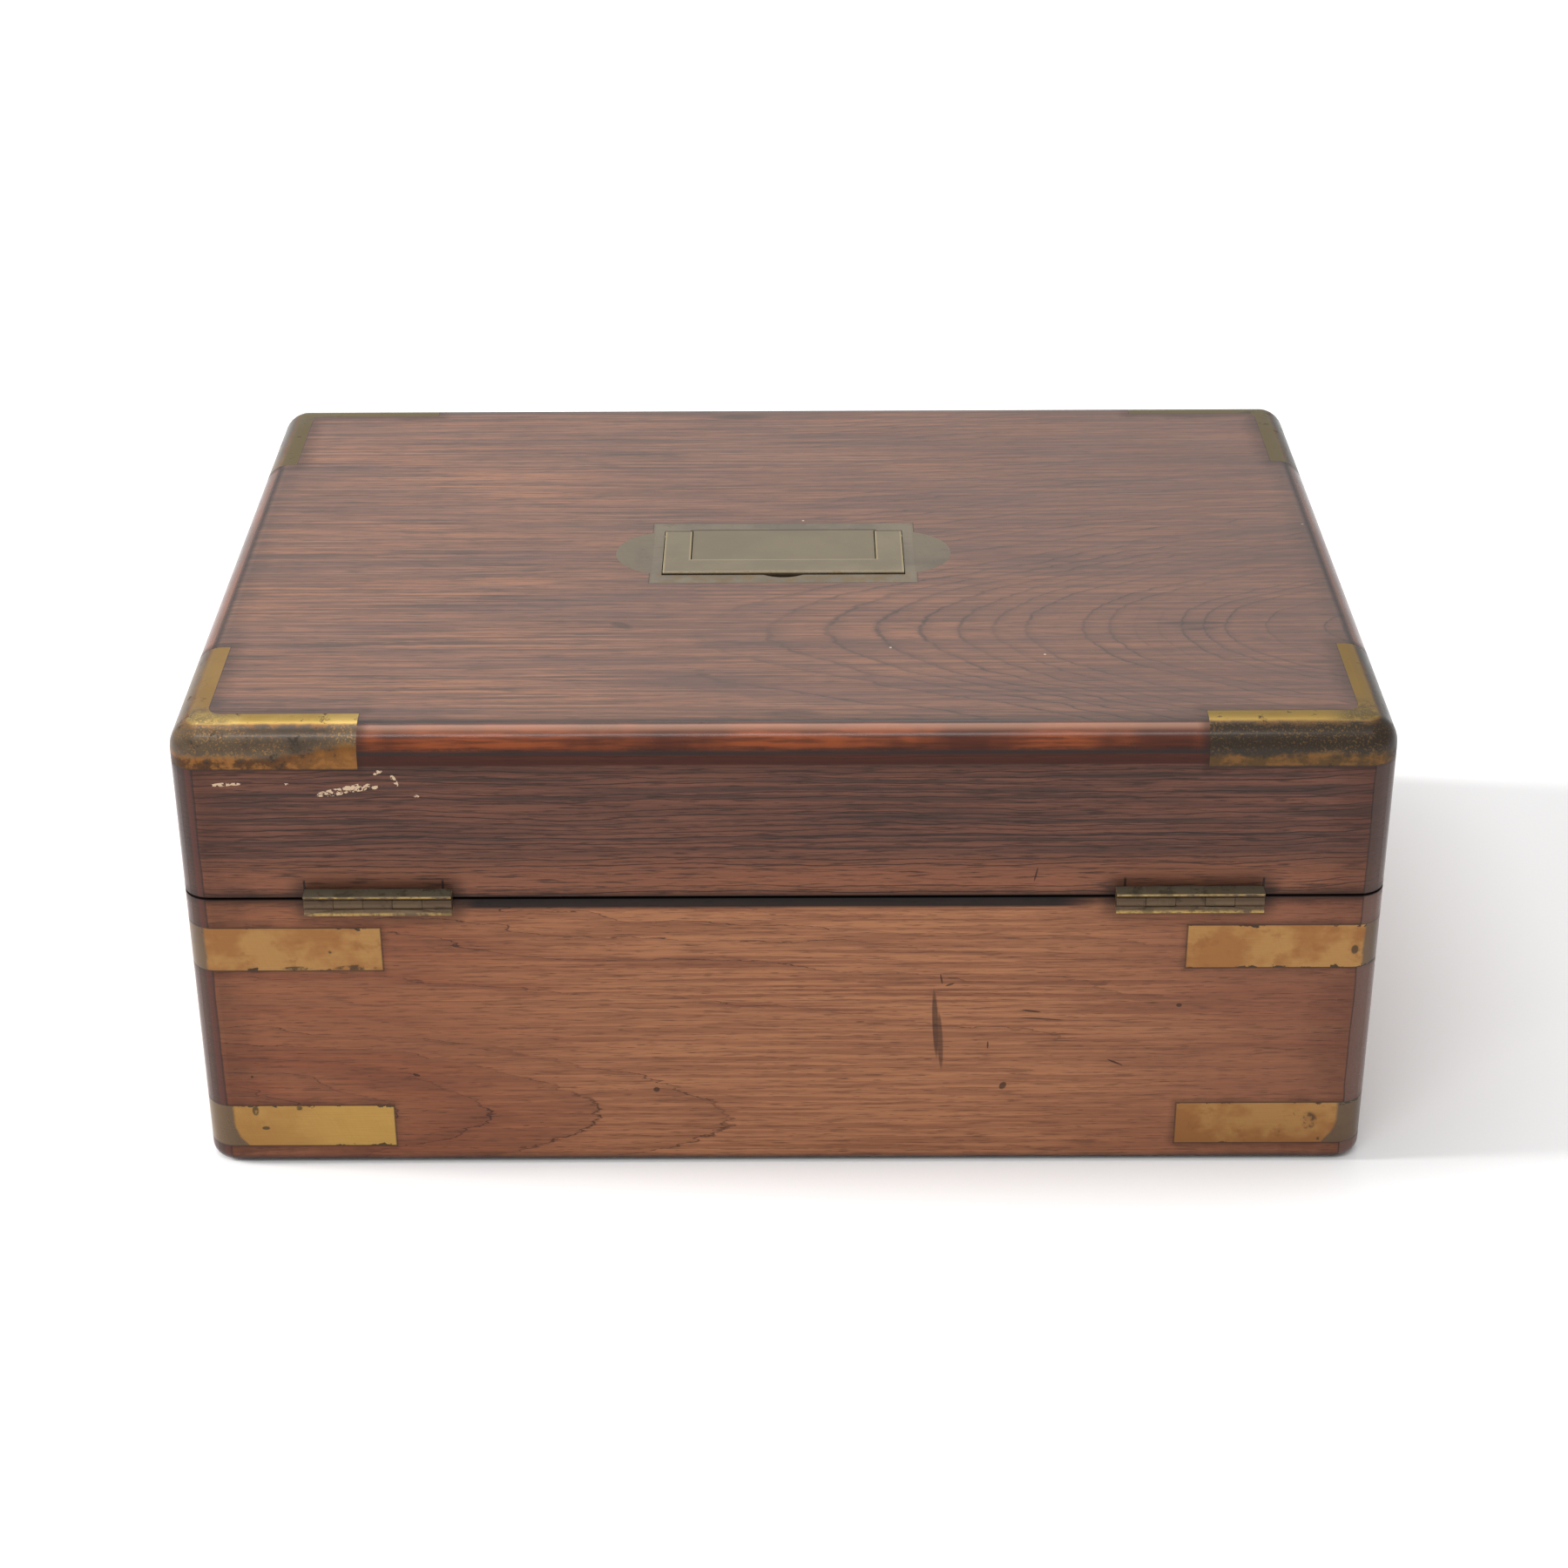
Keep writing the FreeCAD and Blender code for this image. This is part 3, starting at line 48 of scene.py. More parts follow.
# the case's sizes in millimetres, the outer ones read from the frame
HALF_W, HALF_D = (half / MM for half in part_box("lower_corner_straps")[1][:2])
TOP_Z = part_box("lid_top_panel")[1][2] / MM
BASE_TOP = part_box("base_back_board")[1][2] / MM
SPLIT_Z = (BASE_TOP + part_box("lid_back_board")[0][2] / MM) / 2
PANEL_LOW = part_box("lid_top_panel")[0][2] / MM
WALL = 9
STRAP_LEG = 54
LOW_STRAP, HIGH_STRAP = (
    [corner[2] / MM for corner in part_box(f"{level}_corner_straps")] for level in ("lower", "upper")
)
CAP_LEG, CAP_FLANGE, CAP_LOW = 51.2, 10.2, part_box("lid_corner_caps")[0][2] / MM
LIP_T = 5.4                   # the lipping's width on the top
HINGE_X, HINGE_HALF_L = 110.7, 20.15
HINGE_KNUCKLES = 5
KERF_IN = 2.5                 # how far from a hinge's inner end the saw cut over it stands
HANDLE_Y = -3
BAIL_HALF_X = 35.4
PLATE_HALF_X, PLATE_HALF_Y = 39.2, 21.5
LEFT, RIGHT = (10, -10), (-10, 10)    # ramps along x that pick one half of the case


# ---- node trees written as arithmetic
class Value:
    """A shader socket that takes part in ordinary arithmetic."""

    def __init__(self, graph, socket):
        self.graph, self.socket = graph, socket

    def op(self, name, *others):
        return self.graph.math(name, self, *others)

    def __add__(self, other):
        return self.op("ADD", other)

    def __sub__(self, other):
        return self.op("SUBTRACT", other)

    def __rsub__(self, other):
        return self.graph.math("SUBTRACT", other, self)

    def __mul__(self, other):
        return self.op("MULTIPLY", other)

    def __truediv__(self, other):
        return self.op("DIVIDE", other)

    def __abs__(self):
        return self.op("ABSOLUTE")

    def __invert__(self):
        return 1 - self

    __radd__ = __add__
    __rmul__ = __mul__

    def rise(self, low, high):
        """0 up to low, 1 from high on, smooth in between; low above high falls instead."""
        return self.graph.rise(self, low, high)

    def near(self, centre, half, soft):
        """1 within half of centre, fading out over soft."""
        return abs(self - centre).rise(half + soft, half)

    def to(self, amount, colour):
        """This colour, gone over to another by an amount."""
        return self.graph.mix(amount, self, colour)

    def least(self, other):
        return self.op("MINIMUM", other)

    def most(self, other):
        return self.op("MAXIMUM", other)


class Graph:
    """One material and short names for the nodes it is made of."""

    def __init__(self, name):
        self.mat = bpy.data.materials.new(name)
        self.mat.use_nodes = True
        self.tree = self.mat.node_tree
        self.tree.nodes.clear()
        self.object_coords = None

    def node(self, kind, **settings):
        n = self.tree.nodes.new("ShaderNode" + kind)
        for key, value in settings.items():
            setattr(n, key, value)
        return n

    def put(self, socket, value):
        if isinstance(value, Value):
            self.tree.links.new(value.socket, socket)
        elif socket.type == "RGBA" and len(value) == 3:
            socket.default_value = (*value, 1)
        else:
            socket.default_value = value

    def math(self, name, *values):
        n = self.node("Math", operation=name)
        for socket, value in zip(n.inputs, values):
            self.put(socket, value)
        return Value(self, n.outputs[0])

    def rise(self, x, low, high):
        n = self.node("MapRange", interpolation_type="SMOOTHSTEP", clamp=True)
        flip = low > high
        for key, value in (("Value", x), ("From Min", min(low, high)), ("From Max", max(low, high))):
            self.put(n.inputs[key], value)
        for key, value in zip(("To Min", "To Max"), (1, 0) if flip else (0, 1)):
            n.inputs[key].default_value = value
        return Value(self, n.outputs["Result"])

    def position(self):
        """x, y and z in the row frame, in millimetres; they stay with the piece when it moves."""
        if self.object_coords is None:
            split = self.node("SeparateXYZ")
            self.tree.links.new(self.node("TexCoord").outputs["Object"], split.inputs[0])
            self.object_coords = [Value(self, s) * (1 / MM) for s in split.outputs]
        return self.object_coords

    def vec(self, x, y, z):
        n = self.node("CombineXYZ")
        for socket, value in zip(n.inputs, (x, y, z)):
            self.put(socket, value)
        return Value(self, n.outputs[0])

    def pattern(self, kind, output, inputs, **settings):
        """A texture node at scale 1; its size is set by what is fed into it."""
        n = self.node(kind, **settings)
        for key, value in {"Scale": 1, **inputs}.items():
            self.put(n.inputs[key], value)
        return Value(self, n.outputs[output])

    def noise(self, at, detail=3, rough=0.5):
        inputs = {"Vector": self.vec(*at), "Detail": detail, "Roughness": rough}
        return self.pattern("TexNoise", "Fac", inputs)

    def cloud(self, scale, detail=4, rough=0.6):
        """Noise through the whole piece; scale is one number, or one for each axis."""
        scales = scale if isinstance(scale, tuple) else (scale,) * 3
        return self.noise([axis * times for axis, times in zip(self.position(), scales)], detail, rough)

    def noise_line(self, at, detail=2, rough=0.5):
        inputs = {"W": at, "Detail": detail, "Roughness": rough}
        return self.pattern("TexNoise", "Fac", inputs, noise_dimensions="1D")

    def cells(self, at):
        return self.pattern("TexVoronoi", "Distance", {"Vector": self.vec(*at)})

    def mix(self, fac, a, b):
        n = self.node("Mix", data_type="RGBA", clamp_factor=True)
        for index, value in ((0, fac), (6, a), (7, b)):
            self.put(n.inputs[index], value)
        return Value(self, n.outputs[2])

    def paint(self, colour, layers):
        """A colour with others laid over it in turn, each an amount and a colour."""
        for amount, tone in layers:
            colour = self.mix(amount, colour, tone)
        return colour

    def bump(self, height, strength, distance_mm):
        n = self.node("Bump")
        self.put(n.inputs["Height"], height)
        self.put(n.inputs["Strength"], strength)
        self.put(n.inputs["Distance"], distance_mm * MM)
        return Value(self, n.outputs["Normal"])

    def surface(self, **inputs):
        """A principled surface with these inputs, by their names with _ for a space."""
        n = self.node("BsdfPrincipled")
        for key, value in inputs.items():
            self.put(n.inputs[key.replace("_", " ")], value)
        out = self.node("OutputMaterial")
        self.tree.links.new(n.outputs[0], out.inputs["Surface"])
        return self.mat


def blend(fac, a, b):
    """A number between a and b."""
    return a + fac * (b - a)


def rect_distance(a, a_half, b, b_half):
    """Distance in millimetres outside a rectangle given by two offsets from its centre."""
    da = (abs(a) - a_half).most(0)
    db = (abs(b) - b_half).most(0)
    return (da * da + db * db).op("SQRT")


def face_inset(ax, ay):
    """How far in from the nearest side of the case."""
    return (HALF_W - ax).least(HALF_D - ay)


def on_hinged_face(y):
    return y.rise(-HALF_D + 3, -HALF_D + 1.5)


def smear(a, b, at_a, at_b, half_a, half_b, turn=0, soft=0.5):
    """1 inside an ellipse round (at_a, at_b), turned by some degrees, fading over soft of its size."""
    c, s = cos(radians(turn)), sin(radians(turn))
    da, db = a - at_a, b - at_b
    p = (da * c + db * s) / half_a
    q = (db * c - da * s) / half_b
    return (p * p + q * q).rise(1 + soft, 1 - soft)


def smears(a, b, soft, spots):
    """1 inside any of several ellipses; a spot is a place, two half sizes and maybe a turn."""
    return any_of([smear(a, b, *spot, soft=soft) for spot in spots])


def any_of(masks):
    whole = masks[0]
    for mask in masks[1:]:
        whole = whole.most(mask)
    return whole


# ---- wood
def growth_rings(g, u, v, w, centre, height, start, reach, spacing, wobble, thin):
    """A flat-sawn board's figure: nested arcs that close along u near start, then straight lines.

    Gives soft bands, thin dark lines, and the shading that builds up to each line, all 0 to 1."""
    slow = g.noise((u * 0.011, v * 0.035, w * 0.02 + 3), 3, 0.55) - 0.5
    quick = g.noise((u * 0.05, v * 0.22, w * 0.1 + 9), 2) - 0.5
    across = v - centre + slow * wobble + quick * (wobble * 0.22)
    depth = ((u - start) / reach).op("TANH") * height
    radius = (across * across + depth * depth).op("SQRT") / spacing
    bands = g.noise_line(radius * 0.45, 2, 0.6)
    jag = g.noise((u * 0.16, v * 0.5, w * 0.2), 3, 0.6) - 0.5
    ring = radius + jag * 0.3
    phase = ring.op("FRACT")
    strength = g.noise_line(ring.op("FLOOR") * 3.7 + 0.5).rise(0.3, 0.54)
    lines = abs(phase - 0.5).rise(thin, thin * 0.15) * strength
    late = phase.rise(0.08, 0.5) * phase.rise(0.5 + thin * 2, 0.5) * strength
    return bands, lines, late


def fibres(g, u, v, w):
    """Streaks along u, a fine hair, and the pores and longer dark flecks of rosewood, each 0 to 1."""
    streak = g.noise((u * 0.016, v * 0.75, w * 0.75), 5, 0.62)
    hair = g.noise((u * 0.07, v * 4.2, w * 4.2), 3, 0.55)
    pores = g.noise((u * 0.21, v * 3.1, w * 3.1), 1, 0.4).rise(0.655, 0.74)
    flecks = g.noise((u * 0.1, v * 1.55 + 7, w * 1.55), 3, 0.6).rise(0.5, 0.68)
    return streak, hair, pores, flecks


def wood_surface(g, colour, hair, pores, lines, rough, grime_and_shade, gloss=0.14, coat=0.03):
    height = hair * 0.35 - pores * 0.9 - lines * 0.25
    roughness = (g.cloud(0.035) - 0.5) * 0.22 + rough + grime_and_shade * 0.2 + pores * 0.15
    return g.surface(
        Base_Color=colour, Roughness=roughness.most(0.12), Normal=g.bump(height, 0.22, 0.12),
        Specular_IOR_Level=gloss, Coat_Weight=coat, Coat_Roughness=0.16,
    )


def corner_masks(g, inset):
    """The solid corner piece between the veneers: its inside, and the dark joint beside it."""
    wander = (g.cloud(0.06, 2, 0.5) - 0.5) * 0.7
    post = (inset + wander).rise(6.7, 6.2)
    joint = (inset + wander * 1.5).near(6.5, 0.08, 0.25)
    return post, joint


def case_wood(name, grain):
    """Rosewood veneer on the carcass; grain is 0 for boards along x and 1 for those along y."""
    g = Graph(name)
    x, y, z = g.position()
    ax, ay = abs(x), abs(y)
    u, w = (x, y) if grain == 0 else (y, x)
    reach_half = HALF_W if grain == 0 else HALF_D
    from_corner = reach_half - abs(u)
    streak, hair, pores, flecks = fibres(g, u, z, w)
    lid = z.rise(SPLIT_Z - 0.3, SPLIT_Z + 0.3)

    # the base: pale orange middle, contour lines closing to a tongue near the bottom left
    bands, lines, late = growth_rings(g, u, z * 1.6, w, 27, 74, -170, 190, 9, 30, 0.024)
    patches = g.noise((u * 0.012, z * 0.03, w * 0.02 + 5), 3, 0.55)
    middle = abs(u + (patches - 0.5) * 90 - 18).rise(reach_half * 0.86, reach_half * 0.25)
    fading = g.noise((u * 0.03, z * 0.05, w * 0.03 + 2), 2).rise(0.4, 0.62)
    base_lines = lines * (0.25 + fading * 0.75) * u.rise(120, 40).most(0.35)
    base = g.paint((0.25, 0.082, 0.039), [
        (middle, (0.385, 0.162, 0.077)),
        (streak.rise(0.4, 0.59) * 0.78, (0.195, 0.07, 0.037)),
        (bands.rise(0.62, 0.42) * 0.25, (0.41, 0.18, 0.085)),
        (u.rise(60, 150) * (0.25 + patches * 0.3), (0.205, 0.085, 0.052)),
        (late * 0.24, (0.11, 0.042, 0.026)),
        (flecks * (0.36 + patches * 0.2), (0.07, 0.03, 0.021)),
        (base_lines * 0.8, (0.046, 0.02, 0.015)),
    ])

    # the lid: darker, with dense fine black lines nearly along the board, redder towards the rim
    lid_bands, lid_lines, _ = growth_rings(g, u, z, w, 20, 30, 210, -60, 1.6, 7, 0.15)
    low_lid = z.rise(106, 93)
    ends = abs(u).rise(reach_half * 0.35, reach_half * 0.75)
    under_cap = z.rise(131.6, 130.8) * z.rise(124, 129.5)
    dark = g.paint((0.162, 0.067, 0.045), [
        (streak.rise(0.38, 0.6), (0.066, 0.035, 0.029)),
        (lid_bands.rise(0.6, 0.4) * 0.35, (0.175, 0.068, 0.042)),
        (low_lid * (0.48 + streak * 0.32), (0.3, 0.11, 0.054)),
        (patches.rise(0.46, 0.62) * (0.28 + ends * 0.42), (0.2, 0.08, 0.05)),
        ((lid_lines * 0.85).most(flecks * 0.74), (0.026, 0.016, 0.014)),
        # dark bands just below the lipping: grime with painted shade under the rounding
        (under_cap * 0.35, (0.03, 0.014, 0.01)),
        (z.near(131.2, 1.5, 0.7) * 0.85, (0.05, 0.009, 0.004)),
    ])

    colour = g.paint(base, [
        (lid, dark),
        (pores * blend(lid, 0.5, 0.3), (0.028, 0.013, 0.01)),
        ((hair - 0.5) * 0.55 + 0.14, (0.03, 0.014, 0.01)),
    ])

    # darkening: upright corners, grime round the brass, and bands along the split and the foot that are part
    # grime, part painted shade
    corner_inset = (HALF_W - ax).most(HALF_D - ay)
    post, joint = corner_masks(g, corner_inset)
    blotch = g.cloud((0.09, 0.09, 0.12), 4, 0.65)
    plates = (STRAP_LEG, *LOW_STRAP), (STRAP_LEG, *HIGH_STRAP), (CAP_LEG, CAP_LOW, TOP_Z)
    low, high, cap = (rect_distance(from_corner, leg, z - (a + b) / 2, (b - a) / 2) for leg, a, b in plates)
    brass = low.least(high).least(cap)
    scorch = ((brass + (blotch - 0.5) * 5).rise(2.6, -1) * 0.62).most(brass.rise(0.55, 0.15) * 0.75)
    edge_dark = (from_corner + (blotch - 0.5) * 26).rise(24, 6)
    outer = face_inset(ax, ay).rise(3.6, 2.5)
    # either side of the split: stain with painted shade of the gap between lid and base
    split = (abs(z - SPLIT_Z) + (blotch - 0.5) * 3).rise(3.6, 0.4) * outer
    # a painted shadow line along the gap between lid and base
    gap_shade_line = abs(z - SPLIT_Z).rise(0.9, 0.35) * outer
    # the foot: grime with a painted contact shadow along the bottom edge
    foot = (z + (blotch - 0.5) * 3).rise(4, 0.8).most(z.rise(1.9, 1.1) * 1.2)
    post_tone = g.mix(x.rise(*RIGHT), (0.02, 0.009, 0.007), (0.105, 0.052, 0.038))
    post_tone = post_tone.to(lid * x.rise(*RIGHT), (0.05, 0.024, 0.018))
    warm_edge = corner_inset.near(5.4, 0.5, 0.6) * x.rise(*LEFT)
    colour = g.paint(colour, [
        (edge_dark * 0.38, (0.052, 0.018, 0.012)),
        ((scorch * 0.8).most(split * 0.72).most(foot * 0.8), (0.024, 0.012, 0.009)),
        (post * 0.8, post_tone),
        (warm_edge * 0.45, (0.1, 0.022, 0.013)),
        ((joint * 0.6).most(gap_shade_line * 0.9), (0.014, 0.008, 0.007)),
    ])
    if grain == 0:
        between_hinges = u.rise(-92, -84) * u.rise(91, 74)
        # under the lid's edge on the hinged face: stain with painted shade, near black
        gap_shade_band = z.near(BASE_TOP, 2.3, 1.2) * between_hinges * ~lid * outer * y.rise(0, -1)
        colour = colour.to(gap_shade_band * 0.95, (0.008, 0.006, 0.006))
        colour = marks_on_back(g, colour, x, z, on_hinged_face(y), blotch)

    # inside the carcass it is mahogany, polished but never as dark
    inner = (HALF_W - WALL + 0.3 - ax).rise(0, 0.2) * (HALF_D - WALL + 0.3 - ay).rise(0, 0.2)
    plain = g.mix(streak.rise(0.35, 0.65), (0.15, 0.05, 0.024), (0.235, 0.09, 0.042))
    plain = plain.to(pores * 0.35, (0.045, 0.018, 0.01))
    colour = colour.to(inner, plain)
    # rougher under the grime round the brass and under the stain and painted shade along the split
    grime_and_shade = scorch.most(split) * ~inner
    outer_post = post * ~inner
    rough = 0.4 - outer_post * 0.14 + inner * 0.08
    gloss, coat = 0.14 + outer_post * 0.06, 0.03 + outer_post * 0.12
    return wood_surface(g, colour, hair, pores, base_lines, rough, grime_and_shade, gloss, coat)


def marks_on_back(g, colour, x, z, outside, blotch):
    """Scratches, dents, chips of old paint and the saw kerfs over the hinges, on the hinged face."""
    ragged = (blotch - 0.5) * 1.6
    fine = g.noise((x * 0.8, 4, z * 0.9), 3, 0.6)
    scratch = any_of([
        smear(x, z, 42.2, 47, 0.85, 10.5, 3, 0.45),
        smear(x, z, 43.6, 41.5, 0.75, 9, 3, 0.4) * 0.85,
    ])
    dark_spots = smears(x, z, 0.4, (
        (61.6, 26.3, 0.9, 1.3, -30), (-36.3, 25.3, 0.9, 0.8), (68.9, 51.2, 2.6, 0.35, -8),
        (43.6, 61.8, 0.25, 1.6, 10), (110, 53, 0.8, 0.6), (46, 60, 1.3, 0.3, 20),
        (-104, 30.5, 1.1, 0.4, -20), (-150.5, 30, 0.4, 0.4), (72, 48.6, 6, 0.22, -4),
        (93, 34, 2.4, 0.3, -25), (68.7, 95.3, 0.25, 2.2, -12), (57, 40, 0.25, 1.2),
    ))
    kerf_ends = HINGE_X + HINGE_HALF_L, HINGE_X - HINGE_HALF_L + KERF_IN
    kerfs = any_of([abs(x).near(at, 0.22, 0.2) for at in kerf_ends])
    kerfs = kerfs * z.rise(SPLIT_Z + 6.2, SPLIT_Z + 5.2) * z.rise(SPLIT_Z, SPLIT_Z + 0.5)
    hinge = rect_distance(abs(x) - HINGE_X, HINGE_HALF_L, z - SPLIT_Z, 3) + ragged * 2
    colour = colour.to(hinge.rise(6, 0.4) * 0.6 * outside, (0.018, 0.011, 0.009))
    dark_marks = (scratch * 0.68).most(dark_spots * 0.75).most(kerfs * 0.95)
    colour = colour.to(dark_marks * outside, (0.02, 0.01, 0.008))
    chipped = smears(x, z, 0.9, (
        (-150.6, 123.9, 2.8, 0.55, 4), (-147, 124.1, 1.4, 0.4), (-119.8, 121.6, 5.6, 1, 10),
        (-114.6, 122.8, 4.4, 1.1, 8), (-109.4, 122.9, 1.8, 0.5, 6), (-108.4, 127.6, 1.4, 0.6, 30),
        (-104.2, 125, 0.6, 1.8, 25), (-98.6, 120.2, 0.9, 0.4), (-133.5, 124, 1, 0.25),
    ))
    chips = (chipped * fine.rise(0.42, 0.56)).rise(0.3, 0.5)
    return colour.to(chips * outside, (0.56, 0.4, 0.265))


def cap_distances(ax, ay, flange):
    """Distance on the top from a corner cap's two legs."""
    half = CAP_LEG / 2
    leg_x = rect_distance(ax - (HALF_W - half), half, ay - HALF_D, flange)
    return leg_x, rect_distance(ax - HALF_W, flange, ay - (HALF_D - half), half)


def top_wood():
    """The lid's top veneer: nested arcs on the right, straight dark lines on the left."""
    g = Graph("rosewood_top")
    x, y, z = g.position()
    ax, ay = abs(x), abs(y)
    streak, hair, pores, flecks = fibres(g, x, y, z)
    bands, lines, late = growth_rings(g, x, y, z, -57, 84, 182, -150, 2.9, 14, 0.085)
    right = x.rise(-60, 40)
    straight = abs(g.noise((x * 0.006, y * 0.3 + 4, 1.7), 4, 0.6) - 0.5).rise(0.05, 0.006)
    broad = g.noise((x * 0.0085, y * 0.05, 7), 3, 0.55)
    fading = g.noise((x * 0.02, y * 0.05, 2), 2).rise(0.36, 0.62)
    dashes = g.noise((x * 0.16, y * 0.9, 8), 2).rise(0.36, 0.52)
    arcs = lines * right * (0.35 + fading * 0.65)
    drawn = arcs.most(straight * (0.3 + fading * 0.5) * (1 - right * 0.6))
    drawn = drawn * (0.5 + dashes * 0.5)
    colour = g.paint((0.182, 0.087, 0.059), [
        (broad.rise(0.36, 0.64), (0.292, 0.129, 0.071)),
        (bands.rise(0.4, 0.62) * 0.45, (0.3, 0.125, 0.062)),
        (streak.rise(0.42, 0.58) * 0.66, (0.078, 0.044, 0.036)),
        ((late * right * 0.36).most(flecks * 0.62), (0.046, 0.03, 0.026)),
        # painted shade: darker towards the right, as if lit from the left
        (x.rise(-120, 150) * 0.46, (0.08, 0.038, 0.028)),
        (drawn * 0.8, (0.034, 0.022, 0.019)),
        (pores * 0.3, (0.035, 0.018, 0.014)),
        ((hair - 0.5) * 0.4 + 0.1, (0.04, 0.02, 0.016)),
    ])

    blotch = g.noise((x * 0.08, y * 0.08, 1), 4, 0.65)
    smudges = any_of([
        smears(x, y, 0.7, ((116, -52.8, 10, 1.3), (151, -78, 8, 1), (-44, 74, 16, 0.8, 2))),
        smears(x, y, 0.8, ((118, -56.5, 5, 0.8, 5), (-14, 105.5, 9, 2.2), (2.5, -108.5, 9, 2))),
        smear(x, y, -46, -53, 3.4, 1.6, -30, 0.7), smear(x, y, -22, -84.5, 2.2, 0.5, 0, 0.6),
    ])
    along_x, along_y = cap_distances(ax, ay, CAP_FLANGE)
    cap = along_x.least(along_y)
    halo = ((cap + (blotch - 0.5) * 8).rise(7, -1) * 0.75).most(cap.rise(0.6, 0.15))
    inset = face_inset(ax, ay)
    rim = (inset + (blotch - 0.5) * 6).rise(15, 5)
    joint = inset.rise(LIP_T + 1.9, LIP_T + 0.3)
    handle = rect_distance(x, PLATE_HALF_X, y - HANDLE_Y, PLATE_HALF_Y)
    specks = g.cells((x * 0.035, y * 0.035, 3)).rise(0.02, 0.012)
    nick_spots = (72.8, -72.7), (6, 20.5), (30, -68)
    nicks = smears(x, y, 0.3, [(*at, 0.35, 0.45) for at in nick_spots])
    colour = g.paint(colour, [
        ((smudges * 0.55).most(halo * 0.72).most(rim * 0.35), (0.026, 0.016, 0.014)),
        ((joint * 0.72).most(handle.rise(0.5, 0.1) * 0.6), (0.014, 0.009, 0.008)),
        ((specks * 0.5).most(nicks * 0.8), (0.46, 0.34, 0.26)),
    ])
    rough = halo * 0.1 - broad * 0.08 + 0.42
    return wood_surface(g, colour, hair, pores, drawn, rough, halo.most(joint), 0.5, 0.35)


def lipping_wood():
    """The strip round the top that takes the rounding: dark red, with a painted highlight along the crest."""
    g = Graph("rosewood_lipping")
    x, y, z = g.position()
    ax, ay = abs(x), abs(y)
    on_back = (HALF_W - ax).rise(0, 12) * (HALF_D - ay).rise(14, 10)
    u = blend(on_back, y, x)
    streak = g.noise((u * 0.05, z * 0.9, 3), 4, 0.6)
    patches = g.noise((x * 0.028, y * 0.028, 2), 3, 0.6)
    inset = face_inset(ax, ay)
    # a painted highlight along the rounding, strongest on the hinged side
    crest_highlight = inset.rise(5.1, 4.4) * inset.rise(2.2, 3.9) * (0.15 + on_back * y.rise(0, -1) * 0.4)
    low = z.rise(PANEL_LOW + 2.6, PANEL_LOW + 1)
    joint = z.rise(PANEL_LOW + 1.6, PANEL_LOW + 0.6)
    wear = g.cloud((0.1, 0.1, 0.3), 4, 0.65)
    along_x, along_y = cap_distances(ax, ay, 30)
    corner = along_x.rise(4, 0.2).most(along_y.rise(5, 0.2))
    colour = g.paint((0.072, 0.019, 0.01), [
        (patches.rise(0.38, 0.6), (0.215, 0.052, 0.017)),
        (streak.rise(0.42, 0.62) * 0.6, (0.04, 0.014, 0.009)),
        (~on_back * 0.65, (0.082, 0.043, 0.034)),
        (crest_highlight, (0.4, 0.23, 0.165)),
        (inset.rise(LIP_T - 0.9, LIP_T - 0.3) * 0.7, (0.04, 0.02, 0.015)),
        (low * 0.6, (0.034, 0.006, 0.003)),
        ((joint * 0.85).most(low * wear.rise(0.46, 0.6) * 0.6), (0.014, 0.008, 0.007)),
        (corner * 0.6, (0.018, 0.01, 0.008)),
    ])
    hair = g.noise((u * 0.3, z * 3, 1), 3)
    nicks = g.cloud((0.5, 0.5, 0.8), 2, 0.5).rise(0.7, 0.76)
    return wood_surface(g, colour, hair, nicks, joint, 0.26, corner, 0.15, 0.2)


def plain_wood(name, pale, dark, rough):
    """A straight-grained timber with streaks, pores and rubbed, darkened patches."""
    g = Graph(name)
    x, y, z = g.position()
    streak, hair, pores = fibres(g, y, z + x * 0.35, x)[:3]
    patches = g.cloud((0.03, 0.03, 0.05))
    colour = g.paint(dark, [
        (streak.rise(0.34, 0.66), pale),
        (patches.rise(0.46, 0.72) * 0.3, tuple(c * 0.35 for c in dark)),
        (pores * 0.4, tuple(c * 0.25 for c in dark)),
    ])
    return wood_surface(g, colour, hair, pores, streak, rough, patches.rise(0.6, 0.8))


def bottom_board():
    """Pine below, stained and scuffed; violet cloth glued down on the inside."""
    g = Graph("pine_and_cloth")
    x, y, z = g.position()
    streak, hair, pores = fibres(g, x * 0.6, y * 0.6, z)[:3]
    patches = g.noise((x * 0.02, y * 0.02, 1), 4, 0.6)
    scuff = g.cells((x * 0.012, y * 0.16, 4)).rise(0.1, 0.03)
    pine = g.paint((0.23, 0.12, 0.055), [
        (streak.rise(0.34, 0.66), (0.4, 0.24, 0.115)),
        (patches.rise(0.46, 0.7) * 0.5, (0.08, 0.045, 0.025)),
        ((scuff * 0.5).most(z.rise(1.2, 0) * 0.1), (0.05, 0.03, 0.02)),
    ])
    pile = g.cloud(4, 3, 0.7)
    rubbed = g.noise((x * 0.03, y * 0.03, 6), 4, 0.6)
    cloth = g.mix(rubbed.rise(0.4, 0.66), (0.03, 0.014, 0.062), (0.066, 0.036, 0.112))
    cloth = cloth.to((pile - 0.5) * 0.8 + 0.1, (0.014, 0.008, 0.028))
    inside = z.rise(7.6, 7.8)
    height = blend(inside, hair * 0.4 - pores, pile)
    return g.surface(
        Base_Color=pine.to(inside, cloth), Roughness=0.72 + inside * 0.2 + (pile - 0.5) * 0.1,
        Normal=g.bump(height, 0.35, 0.25), Specular_IOR_Level=0.2,
        Sheen_Weight=inside * 0.6, Sheen_Roughness=0.4,
    )


